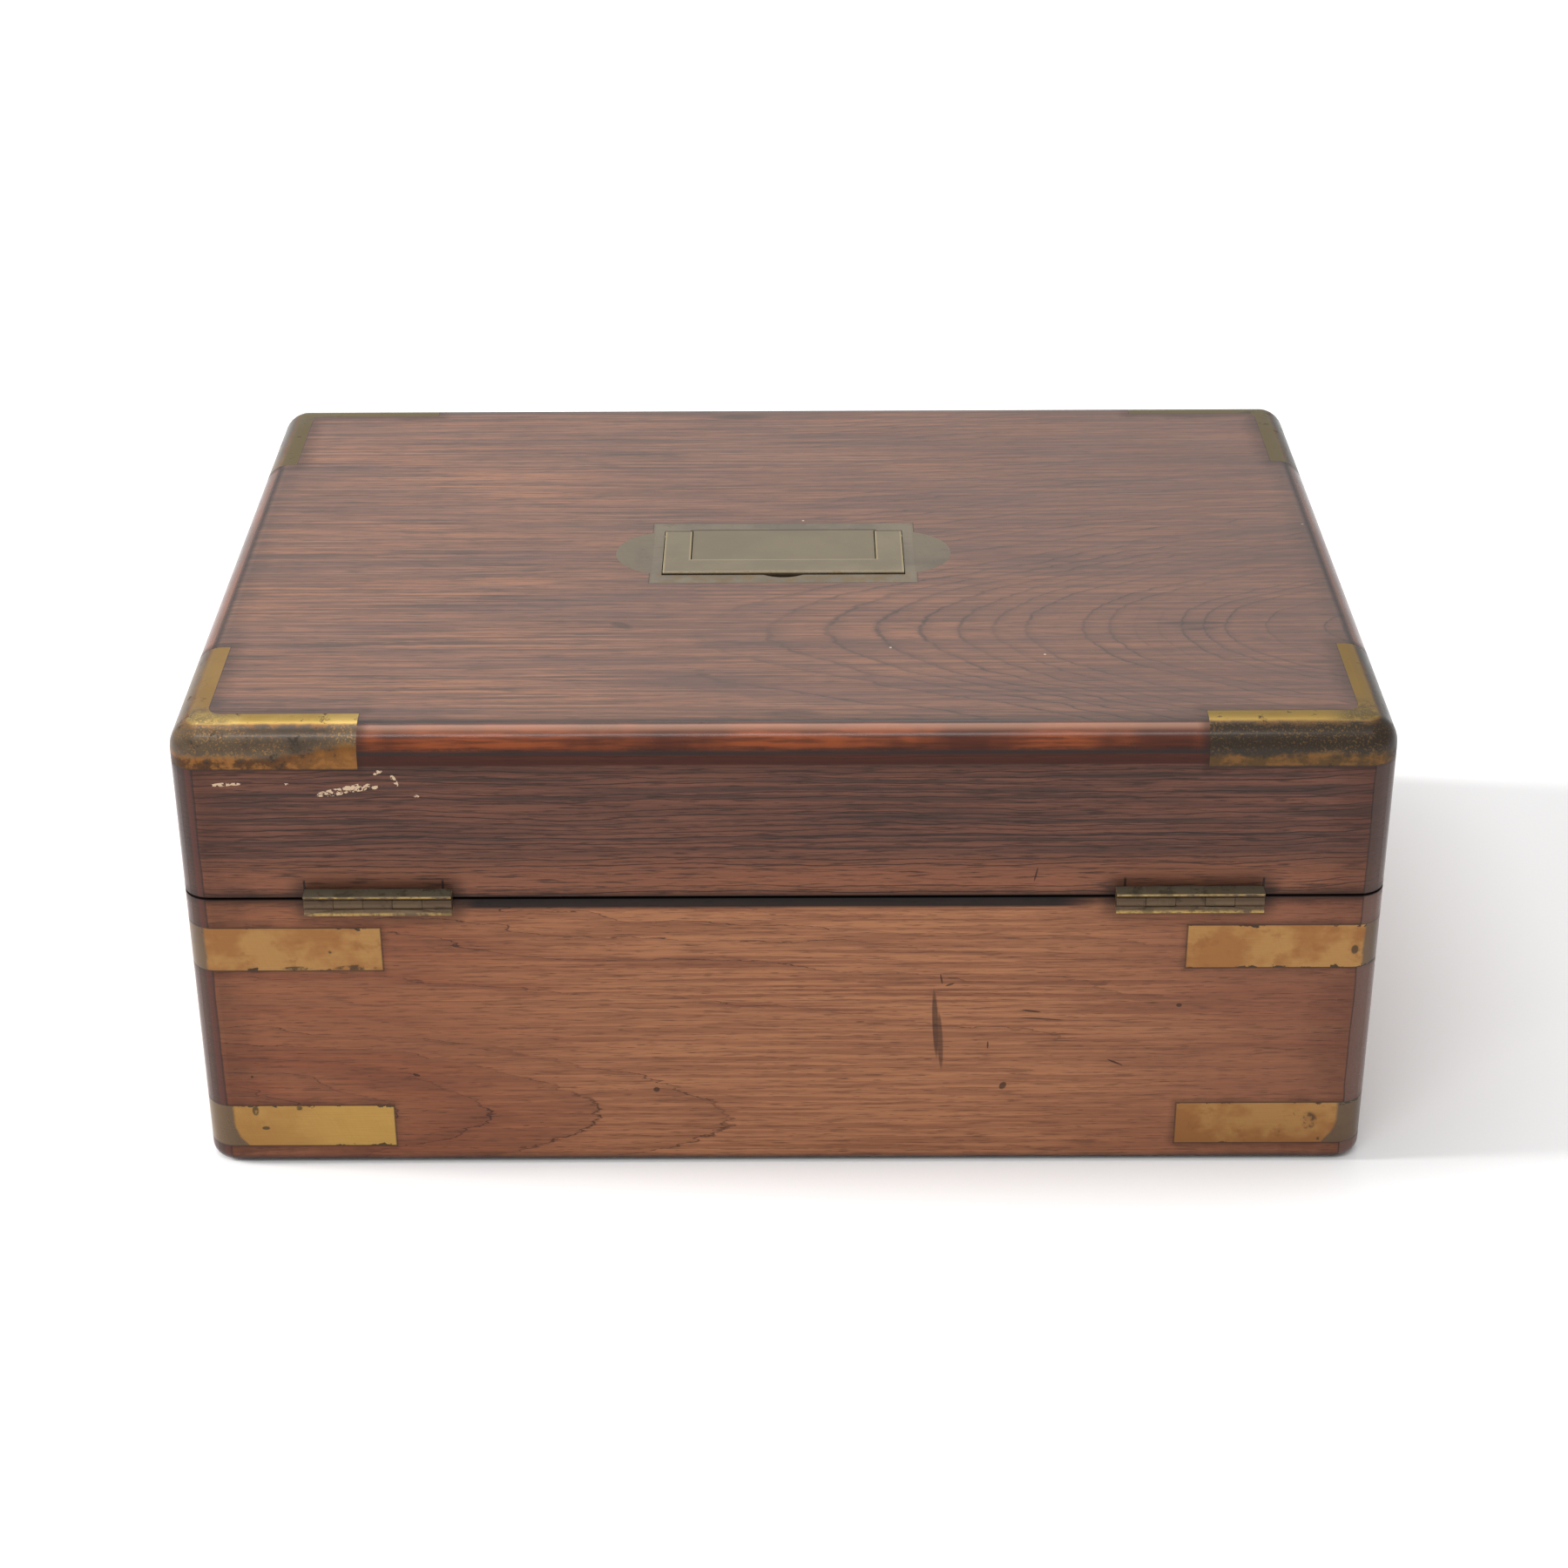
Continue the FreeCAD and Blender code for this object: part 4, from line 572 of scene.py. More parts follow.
# ---- metal
def scratches(g, a, b):
    """Fine wiping scratches, mostly along a."""
    long = g.noise((a * 0.09, b * 2.6, 0), 4, 0.6)
    cross = g.noise((a * 1.9 + b * 0.7, b * 0.12, 5), 3, 0.6)
    return long * 0.7 + cross * 0.3


def inlaid_brass():
    """Ochre brass let into the wood: stained edges, brown on the bend, dark patina on the caps."""
    g = Graph("inlaid_brass")
    x, y, z = g.position()
    ax, ay = abs(x), abs(y)
    on_face = (HALF_D - ay).rise(3, 1.5)
    u = blend(on_face, y, x)
    from_corner = blend(on_face, HALF_D - ay, HALF_W - ax)
    cloud = g.cloud((0.045, 0.045, 0.06))
    blotch = g.cloud((0.16, 0.16, 0.2), 5, 0.68)
    speck = g.cloud(0.9, 3)
    wipe = scratches(g, u, z)
    yellow = x.rise(0, -10) * z.rise(40, 20)
    colour = g.paint((0.262, 0.117, 0.043), [
        (cloud.rise(0.42, 0.58), (0.342, 0.184, 0.067)),
        (blotch.rise(0.52, 0.68) * 0.55, (0.215, 0.09, 0.034)),
        (yellow * blend(u.rise(-152, -118), 0.35, 0.8), (0.47, 0.29, 0.08)),
        ((wipe - 0.5) * 0.7 + 0.12, (0.2, 0.1, 0.042)),
    ])

    # straps: ragged dark edges, scattered spots, tarnish on the bend
    below = (sum(LOW_STRAP) / 2 + 1.5 - z).most(0)
    bulge = below * below * 0.055
    limit = blend(z.rise(30, 50), bulge + 8.2, 5.2)
    tarnish = (from_corner - limit + (blotch - 0.5) * 2).rise(0.6, -0.5)
    bites = blotch.rise(0.52, 0.62) * cloud.rise(0.44, 0.56)
    edges = any_of([
        (abs(z - (a + b) / 2) - (b - a) / 2 + bites * (speck + 0.5) * 0.9).rise(-0.3, -0.05)
        * z.near((a + b) / 2, 12, 0.5)
        for a, b in (LOW_STRAP, HIGH_STRAP)
    ])
    strap_end = from_corner.rise(STRAP_LEG - 0.35, STRAP_LEG - 0.1)
    spots = g.cells((x * 0.11, y * 0.11, z * 0.11)).rise(0.085, 0.035) * blotch.rise(0.46, 0.56)
    spots = spots.most(strap_stains(x, y, z, blotch))
    is_cap = z.rise(SPLIT_Z + 20, SPLIT_Z + 21)
    strap_dark = edges.most(strap_end * 0.8).most(spots * 0.85) * ~is_cap

    # caps: bright flat on top, black-green patina over the rounding, orange lower strip
    top = z.rise(TOP_Z - 0.75, TOP_Z - 0.25)
    turn = z + (blotch - 0.5) * 5
    right = x.rise(*RIGHT)
    along_y = (HALF_D - ay).rise(CAP_FLANGE - 2, CAP_FLANGE + 3)
    far = y.rise(40, 50)
    into_corner = (HALF_W - ax).rise(22, 12) * (HALF_D - ay).rise(22, 12)
    climb = x.rise(-142, -116) * x.rise(0, -10) * 3
    patina = (turn - climb).rise(CAP_LOW + 2.6, CAP_LOW + 4.6) * turn.rise(TOP_Z + 0.4, TOP_Z - 1.4) * ~top
    patina = patina.most(top * into_corner * (blotch + cloud * 0.5).rise(0.62, 0.8) * 0.8)
    lower = (z - climb).rise(CAP_LOW + 5, CAP_LOW + 3)
    bright = g.paint((0.5, 0.33, 0.09), [
        (cloud.rise(0.4, 0.6), (0.6, 0.415, 0.13)),
        (along_y * 0.7, (0.4, 0.225, 0.09)),
        (right * 0.7, (0.27, 0.17, 0.045)),
        (far * 0.8, (0.18, 0.15, 0.08)),
    ])
    mottled = lower * is_cap * blotch.rise(0.42, 0.56) * (0.88 - climb * 0.2)
    grit = g.cloud(1.7, 2)
    rubbed = grit.rise(0.54, 0.64) * cloud.rise(0.38, 0.58) * (1 - right * 0.35)
    dark_cap = patina * is_cap * (1 - rubbed * 0.75)
    stains = (blotch.rise(0.57, 0.66) * speck.rise(0.42, 0.56) * is_cap).most(strap_dark)
    patina_tone = g.mix(cloud.rise(0.42, 0.58), (0.044, 0.037, 0.028), (0.084, 0.06, 0.038))
    patina_tone = patina_tone.to(right, (0.014, 0.011, 0.008))
    cap_edge = ((z - CAP_LOW) + (speck - 0.5) * 0.5).rise(0.5, 0.15) * is_cap
    colour = g.paint(colour, [
        (tarnish * 0.85 * ~is_cap, (0.078, 0.054, 0.036)),
        (top * is_cap, bright),
        (lower * is_cap * 0.8, (0.215, 0.088, 0.027)),
        (mottled, (0.062, 0.032, 0.019)),
        (right * is_cap * ~top * 0.55, (0.088, 0.058, 0.028)),
        (dark_cap * 0.92, patina_tone),
        (stains * 0.9, (0.03, 0.02, 0.013)),
        (cap_edge * 0.8, (0.03, 0.019, 0.012)),
    ])
    dirt = dark_cap.most(stains).most(cap_edge)
    bend = tarnish * ~is_cap
    metal = 0.95 - dirt * 0.75 - bend * 0.45
    rough = 0.4 - dark_cap * 0.06 + stains * 0.2 + (cloud - 0.5) * 0.2 + (wipe - 0.5) * 0.15 - bend * 0.1
    height = wipe * 0.3 + speck * 0.25 * dark_cap - stains * 0.8
    return g.surface(
        Base_Color=colour, Metallic=metal, Roughness=rough.most(0.2), Normal=g.bump(height, 0.25, 0.1),
        Specular_IOR_Level=0.25, Coat_Weight=dark_cap.most(bend) * 0.12, Coat_Roughness=0.14,
    )


def strap_stains(x, y, z, blotch):
    """A few black stains on the straps of the hinged face."""
    return smears(x, z, 0.5, (
        (149, 14, 2.2, 2.8), (146, 16.5, 1.4, 1), (157.5, 71, 1, 1.4),
        (-150.5, 18.5, 0.9, 1.6), (-138, 19.3, 0.9, 0.7), (-148, 12.5, 1.1, 0.6),
        (-118, 66.2, 6, 0.9, 2), (-135, 66, 4, 0.6),
    )) * blotch.rise(0.4, 0.5) * on_hinged_face(y)


def antique_brass():
    """Dull olive brass of the handle, hinges and lock, rubbed bright where touched; the handle has painted
    light and shade.
    """
    g = Graph("antique_brass")
    x, y, z = g.position()
    cloud = g.cloud(0.06)
    blotch = g.cloud((0.25, 0.25, 0.3), 5, 0.68)
    wipe = scratches(g, x, y + z)
    colour = g.paint((0.288, 0.242, 0.194), [
        (cloud.rise(0.36, 0.64), (0.352, 0.298, 0.228)),
        ((wipe - 0.5) * 0.8 + 0.15, (0.19, 0.15, 0.1)),
        (blotch.rise(0.56, 0.72) * 0.45, (0.11, 0.078, 0.045)),
    ])

    # hinges: dark brown knuckles between two worn yellow lips
    behind = (y + HALF_D).rise(0.3, -0.3) * (abs(z - SPLIT_Z)).rise(6.5, 5.5)
    lip = abs(z - SPLIT_Z).rise(2, 2.5) * (blotch + cloud * 0.4).rise(0.56, 0.76)
    along = abs(abs(x) - HINGE_X)
    knuckle = HINGE_HALF_L * 2 / HINGE_KNUCKLES
    outer_knuckle = along.near(knuckle, knuckle * 0.5 - 0.1, 0.2)
    hinge = g.paint((0.108, 0.07, 0.042), [
        (lip * 0.9, (0.44, 0.29, 0.095)),
        ((z - SPLIT_Z).rise(2.86, 2.96), (0.2, 0.175, 0.12)),
        (blotch.rise(0.5, 0.64) * 0.6, (0.04, 0.027, 0.017)),
        (outer_knuckle * 0.35 * ~lip, (0.15, 0.1, 0.055)),
    ])

    # handle: yellow where the bail's grip and edges are rubbed, with a painted highlight; painted shade,
    # black, in the recesses
    on_top = z.rise(TOP_Z - 12, TOP_Z - 11) * abs(x).rise(60, 55)
    # painted shade: everything below the plate's top face is darkened
    deep = z.rise(TOP_Z - 0.25, TOP_Z - 0.9) * on_top
    is_bail = z.rise(TOP_Z + 0.2, TOP_Z + 0.4)
    inside = rect_distance(x, 27.2, y - HANDLE_Y - 5.2, 10.8)
    centre = inside.rise(0.9, 0) * ~is_bail * on_top
    shade = inside.near(0.5, 0.3, 0.3) * ~is_bail * on_top
    # bright lines on the bail's edges: wear with a painted highlight
    rubbed = any_of([
        y.near(HANDLE_Y - 6.1, 0.45, 0.4) * abs(x).rise(28.4, 27.6),
        abs(x).near(27.6, 0.2, 0.4) * y.rise(HANDLE_Y - 6.2, HANDLE_Y - 5.6),
        abs(x).near(BAIL_HALF_X, 0.2, 0.4),
    ])
    front = y.rise(HANDLE_Y - 14.3, HANDLE_Y - 14.9) * on_top * abs(x).rise(38, 36)
    outline = rect_distance(x, PLATE_HALF_X - 0.6, y - HANDLE_Y, PLATE_HALF_Y - 0.5).rise(0, 0.3)
    outline = outline * z.near(TOP_Z, 0.1, 0.1)
    colour = g.paint(colour, [
        (behind, hinge),
        (deep * 0.62, (0.07, 0.052, 0.032)),
        (is_bail * 0.45, (0.385, 0.32, 0.205)),
        (centre * 0.75, (0.385, 0.322, 0.222)),
        (shade * 0.6, (0.075, 0.055, 0.035)),
        (rubbed * 0.7 * is_bail, (0.56, 0.46, 0.27)),
        # painted shade on the bail's near edge
        (front * is_bail * 0.75, (0.1, 0.078, 0.045)),
        # painted reflection, in patches, on the plate in front of the bail
        (front * ~is_bail * blotch.rise(0.4, 0.6) * 0.5, (0.3, 0.19, 0.08)),
        (outline * 0.15, (0.12, 0.09, 0.05)),
    ])
    dirt = behind * 0.35 + blotch.rise(0.56, 0.72) * 0.25
    return g.surface(
        Base_Color=colour, Metallic=0.92 - dirt * 0.5, Roughness=0.42 + (cloud - 0.5) * 0.25 + dirt * 0.25,
        Normal=g.bump(wipe * 0.5 - blotch * 0.3, 0.25, 0.08),
    )


def clean_metal(name, pale, dark, rough, turned, tarnish):
    """Finished metal: brushed along x, or turned in circles about the case's upright middle line."""
    g = Graph(name)
    x, y, z = g.position()
    cloud = g.cloud(0.07)
    if turned:
        radius = (x * x + y * y).op("SQRT")
        lines = g.noise((radius * 3, z * 3, 0), 3, 0.6)
    else:
        lines = scratches(g, x, y + z * 1.3)
    spots = g.cloud(0.4, 4, 0.7).rise(0.62, 0.76)
    colour = g.paint(dark, [
        (cloud.rise(0.34, 0.68), pale),
        ((lines - 0.5) * 0.6 + 0.1, tuple(c * 0.55 for c in dark)),
        (spots * tarnish, tuple(c * 0.3 for c in dark)),
    ])
    return g.surface(
        Base_Color=colour, Metallic=1, Roughness=rough + (lines - 0.5) * 0.18 + spots * 0.15,
        Normal=g.bump(lines, 0.15, 0.04),
    )


def silvered_dial():
    """Silvered brass, grained in circles, a little yellow at the rim."""
    g = Graph("silvered_dial")
    x, y = g.position()[:2]
    radius = (x * x + y * y).op("SQRT")
    rings = g.noise((radius * 5, 0, 0), 2, 0.6)
    cloud = g.noise((x * 0.06, y * 0.06, 0), 4, 0.6)
    foxing = g.noise((x * 0.5, y * 0.5, 2), 4, 0.7).rise(0.64, 0.74)
    colour = g.paint((0.74, 0.72, 0.66), [
        (cloud.rise(0.35, 0.68) * 0.6, (0.6, 0.57, 0.49)),
        (radius.rise(44, 52) * 0.4, (0.52, 0.46, 0.34)),
        (foxing * 0.25, (0.26, 0.2, 0.12)),
    ])
    return g.surface(
        Base_Color=colour, Metallic=0.35, Roughness=0.46 + (rings - 0.5) * 0.2,
        Normal=g.bump(rings, 0.12, 0.03),
    )


def crystal():
    g = Graph("crystal")
    x, y, z = g.position()
    smear_mask = g.cloud((0.05, 0.09, 0.1), 4, 0.65)
    dust = g.noise((x * 1.4, y * 1.4, z), 3, 0.6).rise(0.66, 0.78)
    return g.surface(
        Base_Color=g.mix(dust * 0.1, (0.98, 0.99, 0.985), (0.8, 0.79, 0.76)),
        Roughness=0.02 + smear_mask.rise(0.5, 0.75) * 0.05 + dust * 0.1, IOR=1.5, Transmission_Weight=1,
        Normal=g.bump(smear_mask, 0.04, 0.02),
    )


def velvet(name, deep, pale):
    """Short pile: darker where it is pressed down, paler at a glancing look."""
    g = Graph(name)
    x, y, z = g.position()
    nap = g.cloud(0.05)
    pile = g.cloud(5, 3, 0.7)
    worn = g.noise((x * 0.02 + 4, y * 0.02, z * 0.02), 3, 0.6)
    colour = g.paint(deep, [
        (nap.rise(0.36, 0.66), pale),
        ((pile - 0.5) * 0.9 + 0.1, tuple(c * 0.4 for c in deep)),
        (worn.rise(0.58, 0.78) * 0.35, tuple(c * 1.6 + 0.02 for c in pale)),
    ])
    return g.surface(
        Base_Color=colour, Roughness=0.92 + (pile - 0.5) * 0.1, Normal=g.bump(pile, 0.5, 0.35),
        Sheen_Weight=0.8, Sheen_Roughness=0.35, Sheen_Tint=(0.72, 0.62, 0.86), Specular_IOR_Level=0.15,
    )


def enamel():
    """Black wax filling of the dial's engraving."""
    g = Graph("dial_black")
    x, y, z = g.position()
    speck = g.noise((x * 2, y * 2, z), 3, 0.6)
    colour = g.mix(speck.rise(0.4, 0.75), (0.012, 0.012, 0.014), (0.045, 0.042, 0.04))
    return g.surface(Base_Color=colour, Roughness=0.45 + (speck - 0.5) * 0.3, Normal=g.bump(speck, 0.2, 0.02))


LONG_WOOD = case_wood("rosewood_veneer_long", 0)
SHORT_WOOD = case_wood("rosewood_veneer_short", 1)
BY_SLOT = {
    "rosewood_top": top_wood(),
    "rosewood_lipping": lipping_wood(),
    "pine_carcass": bottom_board(),
    "mahogany": plain_wood("mahogany", (0.235, 0.088, 0.04), (0.13, 0.042, 0.02), 0.42),
    "inlaid_brass": inlaid_brass(),
    "antique_brass": antique_brass(),
    "velvet": velvet("velvet", (0.03, 0.012, 0.075), (0.075, 0.034, 0.15)),
    "crystal": crystal(),
    "silvered_dial": silvered_dial(),
}
METALS = {                    # pale and dark tones, roughness, turned or not, spotting
    "steel": ((0.36, 0.34, 0.31), (0.17, 0.15, 0.13), 0.38, False, 0.7),
    "lacquered_brass": ((0.78, 0.55, 0.24), (0.62, 0.41, 0.16), 0.26, True, 0.25),
    "polished_steel": ((0.62, 0.61, 0.6), (0.45, 0.44, 0.43), 0.2, False, 0.1),
    "blued_steel": ((0.03, 0.05, 0.19), (0.016, 0.024, 0.095), 0.24, False, 0.1),
}
for metal_name, look in METALS.items():
    BY_SLOT[metal_name] = clean_metal(metal_name, *look)

for node_name, node in NODES.items():
    for slot in node.material_slots:
        slot_name = slot.material.name.split(".")[0]
        if slot_name == "rosewood_veneer":
            slot.material = LONG_WOOD if ("back" in node_name or "front" in node_name) else SHORT_WOOD
        elif slot_name in BY_SLOT:
            slot.material = BY_SLOT[slot_name]
        else:
            raise ValueError(f"{node_name}: no finish for {slot_name}")


# ---- pieces with more detail than their solids
def add_object(name, data):
    thing = bpy.data.objects.new(name, data)
    scene.collection.objects.link(thing)
    return thing


def add_piece(name, verts_mm, faces, body, slot_name, material=None, smooth=True):
    """A mesh piece in the row frame that rides on a body."""
    mesh = bpy.data.meshes.new(name)
    mesh.from_pydata([tuple(c * MM for c in v) for v in verts_mm], [], faces)
    mesh.validate()
    mesh.update()
    mesh.materials.append(material or BY_SLOT[slot_name])
    mesh.polygons.foreach_set("use_smooth", [smooth] * len(mesh.polygons))
    piece = add_object(name, mesh)
    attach(piece, body)
    return piece


def wall(near_loop, far_loop):
    """The quads between two closed loops of vertices."""
    count = len(near_loop)
    nexts = [(k, (k + 1) % count) for k in range(count)]
    return [(near_loop[a], far_loop[a], far_loop[b], near_loop[b]) for a, b in nexts]


SOFT_FROM, SMOOTH_UP_TO = 35, 32          # degrees between faces: rounded from, shaded smooth up to


def soften(node, width_mm, joined):
    """Breaks a CAD node's sharp edges with a small rounding; its own mesh stays as it is."""
    tidy = node.modifiers.new("tidy", "NODES")
    tidy.node_group = joined
    bevel = node.modifiers.new("edge", "BEVEL")
    bevel.width = width_mm * MM
    bevel.segments = 2
    bevel.limit_method = "ANGLE"
    bevel.angle_limit = radians(SOFT_FROM)
    bevel.harden_normals = True


def merged_faces():
    """A node group that joins split vertices and gives the mesh fresh smooth shading."""
    tree = bpy.data.node_groups.new("merged_faces", "GeometryNodeTree")
    for way in ("INPUT", "OUTPUT"):
        tree.interface.new_socket("Geometry", in_out=way, socket_type="NodeSocketGeometry")
    start, end = tree.nodes.new("NodeGroupInput"), tree.nodes.new("NodeGroupOutput")
    merge, plain, sharp, angle, flat = (tree.nodes.new("GeometryNode" + kind) for kind in (
        "MergeByDistance", "RemoveAttribute", "SetShadeSmooth", "InputMeshEdgeAngle", "SetShadeSmooth",
    ))
    merge.inputs["Distance"].default_value = 0.002 * MM
    plain.inputs["Name"].default_value = "custom_normal"
    sharp.domain, flat.domain = "EDGE", "FACE"
    below = tree.nodes.new("ShaderNodeMath")
    below.operation = "LESS_THAN"
    below.inputs[1].default_value = radians(SMOOTH_UP_TO)
    for a, b in (
        (start.outputs[0], merge.inputs["Geometry"]), (merge.outputs[0], plain.inputs["Geometry"]),
        (plain.outputs[0], sharp.inputs["Geometry"]), (angle.outputs["Unsigned Angle"], below.inputs[0]),
        (below.outputs[0], sharp.inputs["Shade Smooth"]), (sharp.outputs[0], flat.inputs["Geometry"]),
        (flat.outputs[0], end.inputs[0]),
    ):
        tree.links.new(a, b)
    return tree


# ---- dial: engraved and filled markings, drawn with XII towards the hinges and III towards -x
DIAL_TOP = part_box("dial")[1][2] / MM
MARK_T = 0.07
SUBDIAL_AT = 24


def ring_outline(q, radius, width, steps=120):
    """A thin ring round (0, q), as quads."""
    quads = []
    for i in range(steps):
        a, b = (2 * pi * k / steps for k in (i, i + 1))
        quads.append([
            (r * sin(t), q + r * cos(t))
            for r, t in ((radius, a), (radius, b), (radius + width, b), (radius + width, a))
        ])
    return quads


def tick(q, angle, inner, outer, width):
    s, c = sin(angle), cos(angle)
    return [
        (r * s + side * width / 2 * c, q + r * c - side * width / 2 * s)
        for r, side in ((inner, -1), (inner, 1), (outer, 1), (outer, -1))
    ]


STEM, HAIRLINE, SERIF, SERIF_T = 0.15, 0.045, 0.13, 0.045
GLYPHS = {  # width, strokes as (top, foot, thickness) across the letter, all for a height of 1
    "I": (0.36, [(0.18, 0.18, STEM)]),
    "V": (0.66, [(0.14, 0.35, STEM), (0.54, 0.35, HAIRLINE)]),
    "X": (0.66, [(0.14, 0.52, STEM), (0.52, 0.14, HAIRLINE)]),
}


def bar(foot, top, half, low, high):
    """A leaning stroke with level ends."""
    return [(foot - half, low), (foot + half, low), (top + half, high), (top - half, high)]


def roman(text, p, q, angle, height):
    """A numeral standing on the inside of its ring, as quads."""
    pen, local = 0, []
    for letter in text:
        width, strokes = GLYPHS[letter]
        for top, foot, thick in strokes:
            local.append(bar(pen + foot, pen + top, thick / 2, 0, 1))
            local.append(bar(pen + top, pen + top, SERIF, 1 - SERIF_T, 1))
            if letter != "V":
                local.append(bar(pen + foot, pen + foot, SERIF, 0, SERIF_T))
        pen += width
    return placed(local, pen / 2, p, q, angle, height)


def placed(polygons, half_width, p, q, angle, height):
    s, c = sin(angle), cos(angle)
    moved = []
    for polygon in polygons:
        spots = [((a - half_width) * height, (b - 0.5) * height) for a, b in polygon]
        moved.append([(p + a * c + b * s, q - a * s + b * c) for a, b in spots])
    return moved


def figures(text, p, q, height):
    """An upright Arabic number as polygons, from Blender's own plain typeface."""
    curve = bpy.data.curves.new("figure", "FONT")
    curve.body, curve.size = text, 1
    curve.align_x, curve.align_y = "CENTER", "CENTER"
    curve.resolution_u = 3
    maker = add_object("figure", curve)
    mesh = bpy.data.meshes.new_from_object(maker.evaluated_get(bpy.context.evaluated_depsgraph_get()))
    spots = [(p + vertex.co.x * height, q + vertex.co.y * height) for vertex in mesh.vertices]
    polygons = [[spots[i] for i in face.vertices] for face in mesh.polygons]
    bpy.data.objects.remove(maker)
    bpy.data.meshes.remove(mesh)
    bpy.data.curves.remove(curve)
    return polygons


def dial_marks():
    """Minute track, hour numerals, seconds circle and the up and down scale."""
    turn = 2 * pi
    shapes = []
    for radius, width in ((47, 0.18), (49.4, 0.18), (51, 0.25)):
        shapes += ring_outline(0, radius, width)
    shapes += [tick(0, turn * m / 60, 47, 49.5, 0.6 if m % 5 == 0 else 0.22) for m in range(60)]
    for hour, text in enumerate(("XII", "I", "II", "III", "IIII", "V", "VI", "VII", "VIII", "IX", "X", "XI")):
        a = turn * hour / 12
        shapes += roman(text, 41.6 * sin(a), 41.6 * cos(a), a, 7.6)
    low = -SUBDIAL_AT
    shapes += ring_outline(low, 9.3, 0.14, 90) + ring_outline(low, 11.2, 0.16, 90)
    for s in range(60):
        inner, width = (9.3, 0.15) if s % 5 else (8.9, 0.36)
        shapes.append(tick(low, turn * s / 60, inner, 11.2, width))
    for s in range(10, 61, 10):
        a = turn * s / 60
        shapes += figures(str(s), 7.3 * sin(a), low + 7.3 * cos(a), 2.1)
    sweep, hours = radians(300), 56
    shapes += ring_outline(SUBDIAL_AT, 7.8, 0.12, 90) + ring_outline(SUBDIAL_AT, 9.2, 0.14, 90)
    for h in range(0, hours + 1, 2):
        a = -sweep / 2 + sweep * h / hours
        shapes.append(tick(SUBDIAL_AT, a, 7.8, 9.2, 0.32 if h % 8 == 0 else 0.15))
        if h % 8 == 0:
            shapes += figures(str(h), 6.1 * sin(a), SUBDIAL_AT + 6.1 * cos(a), 1.8)
    return shapes


def add_dial_marks():
    verts, faces = [], []
    for polygon in dial_marks():
        start, count = len(verts), len(polygon)
        verts += [(-p, -q, DIAL_TOP + MARK_T) for p, q in polygon]
        verts += [(-p, -q, DIAL_TOP - 0.02) for p, q in polygon]
        faces.append([start + i for i in range(count)])
        faces += wall(range(start, start + count), range(start + count, start + 2 * count))
    add_piece("dial_marks", verts, faces, "chronometer", "silvered_dial", enamel(), smooth=False)


# ---- bezel: a milled ring with a moulded top
def add_bezel():
    low, high = (c[2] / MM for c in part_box("bezel"))
    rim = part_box("bezel")[1][0] / MM
    tall = high - low
    profile = [(rim - inset, low + up, milled) for inset, up, milled in (
        (7, 0, 0), (0.5, 0, 0), (0.3, 0.25, 0), (0.3, 0.45, 0), (0.28, 0.55, 0.27), (0.28, 2.75, 0.27),
        (0.35, 2.9, 0), (0.75, 3.05, 0), (0.75, 3.3, 0), (0.35, 3.5, 0), (0.35, 3.9, 0), (0.9, 4.3, 0),
        (1.8, 4.6, 0), (2.4, 5.1, 0), (2.7, tall - 0.15, 0), (3, tall, 0), (4.1, tall, 0),
        (4.6, tall - 0.3, 0), (4.95, tall - 0.8, 0), (4.95, 2.85, 0), (7, 2.78, 0),
    )]
    teeth, per_tooth = 150, 4
    steps = teeth * per_tooth
    verts = []
    for i in range(steps):
        a = 2 * pi * i / steps
        ripple = cos(2 * pi * i / per_tooth)
        verts += [((r + ripple * d) * cos(a), (r + ripple * d) * sin(a), z) for r, z, d in profile]
    n = len(profile)
    faces = [
        (i * n + k, (i + 1) % steps * n + k, (i + 1) % steps * n + (k + 1) % n, i * n + (k + 1) % n)
        for i in range(steps) for k in range(n)
    ]
    piece = add_piece("milled_bezel", verts, faces, "chronometer", "lacquered_brass")
    piece.data.set_sharp_from_angle(angle=radians(40))
    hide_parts("bezel")


# ---- lid lining: buttoned velvet
TUFT = 42                     # a diamond, corner to corner
BACKING = 0.15                # the cloth's own thickness behind the padding


def puff(x, y, half_x, half_y):
    """How far the velvet stands out from the lid at (x, y)."""
    a, b = (x + y) / TUFT, (x - y) / TUFT
    fold = (abs(sin(pi * a)) * abs(sin(pi * b))) ** 0.42
    near_button = exp(-(sin(pi * a) ** 2 + sin(pi * b) ** 2) * 9)
    edge = min(half_x - abs(x), half_y - abs(y))
    roll = sqrt(max(0, 1 - max(0, 1 - edge / 6) ** 2))
    wrinkle = 0.1 * sin(x * 0.9 + 2 * sin(y * 0.31))
    wrinkle *= sin(y * 0.83 + 1.7 * sin(x * 0.27))
    return (1.5 + 3.2 * fold - 0.9 * near_button + wrinkle * fold) * roll


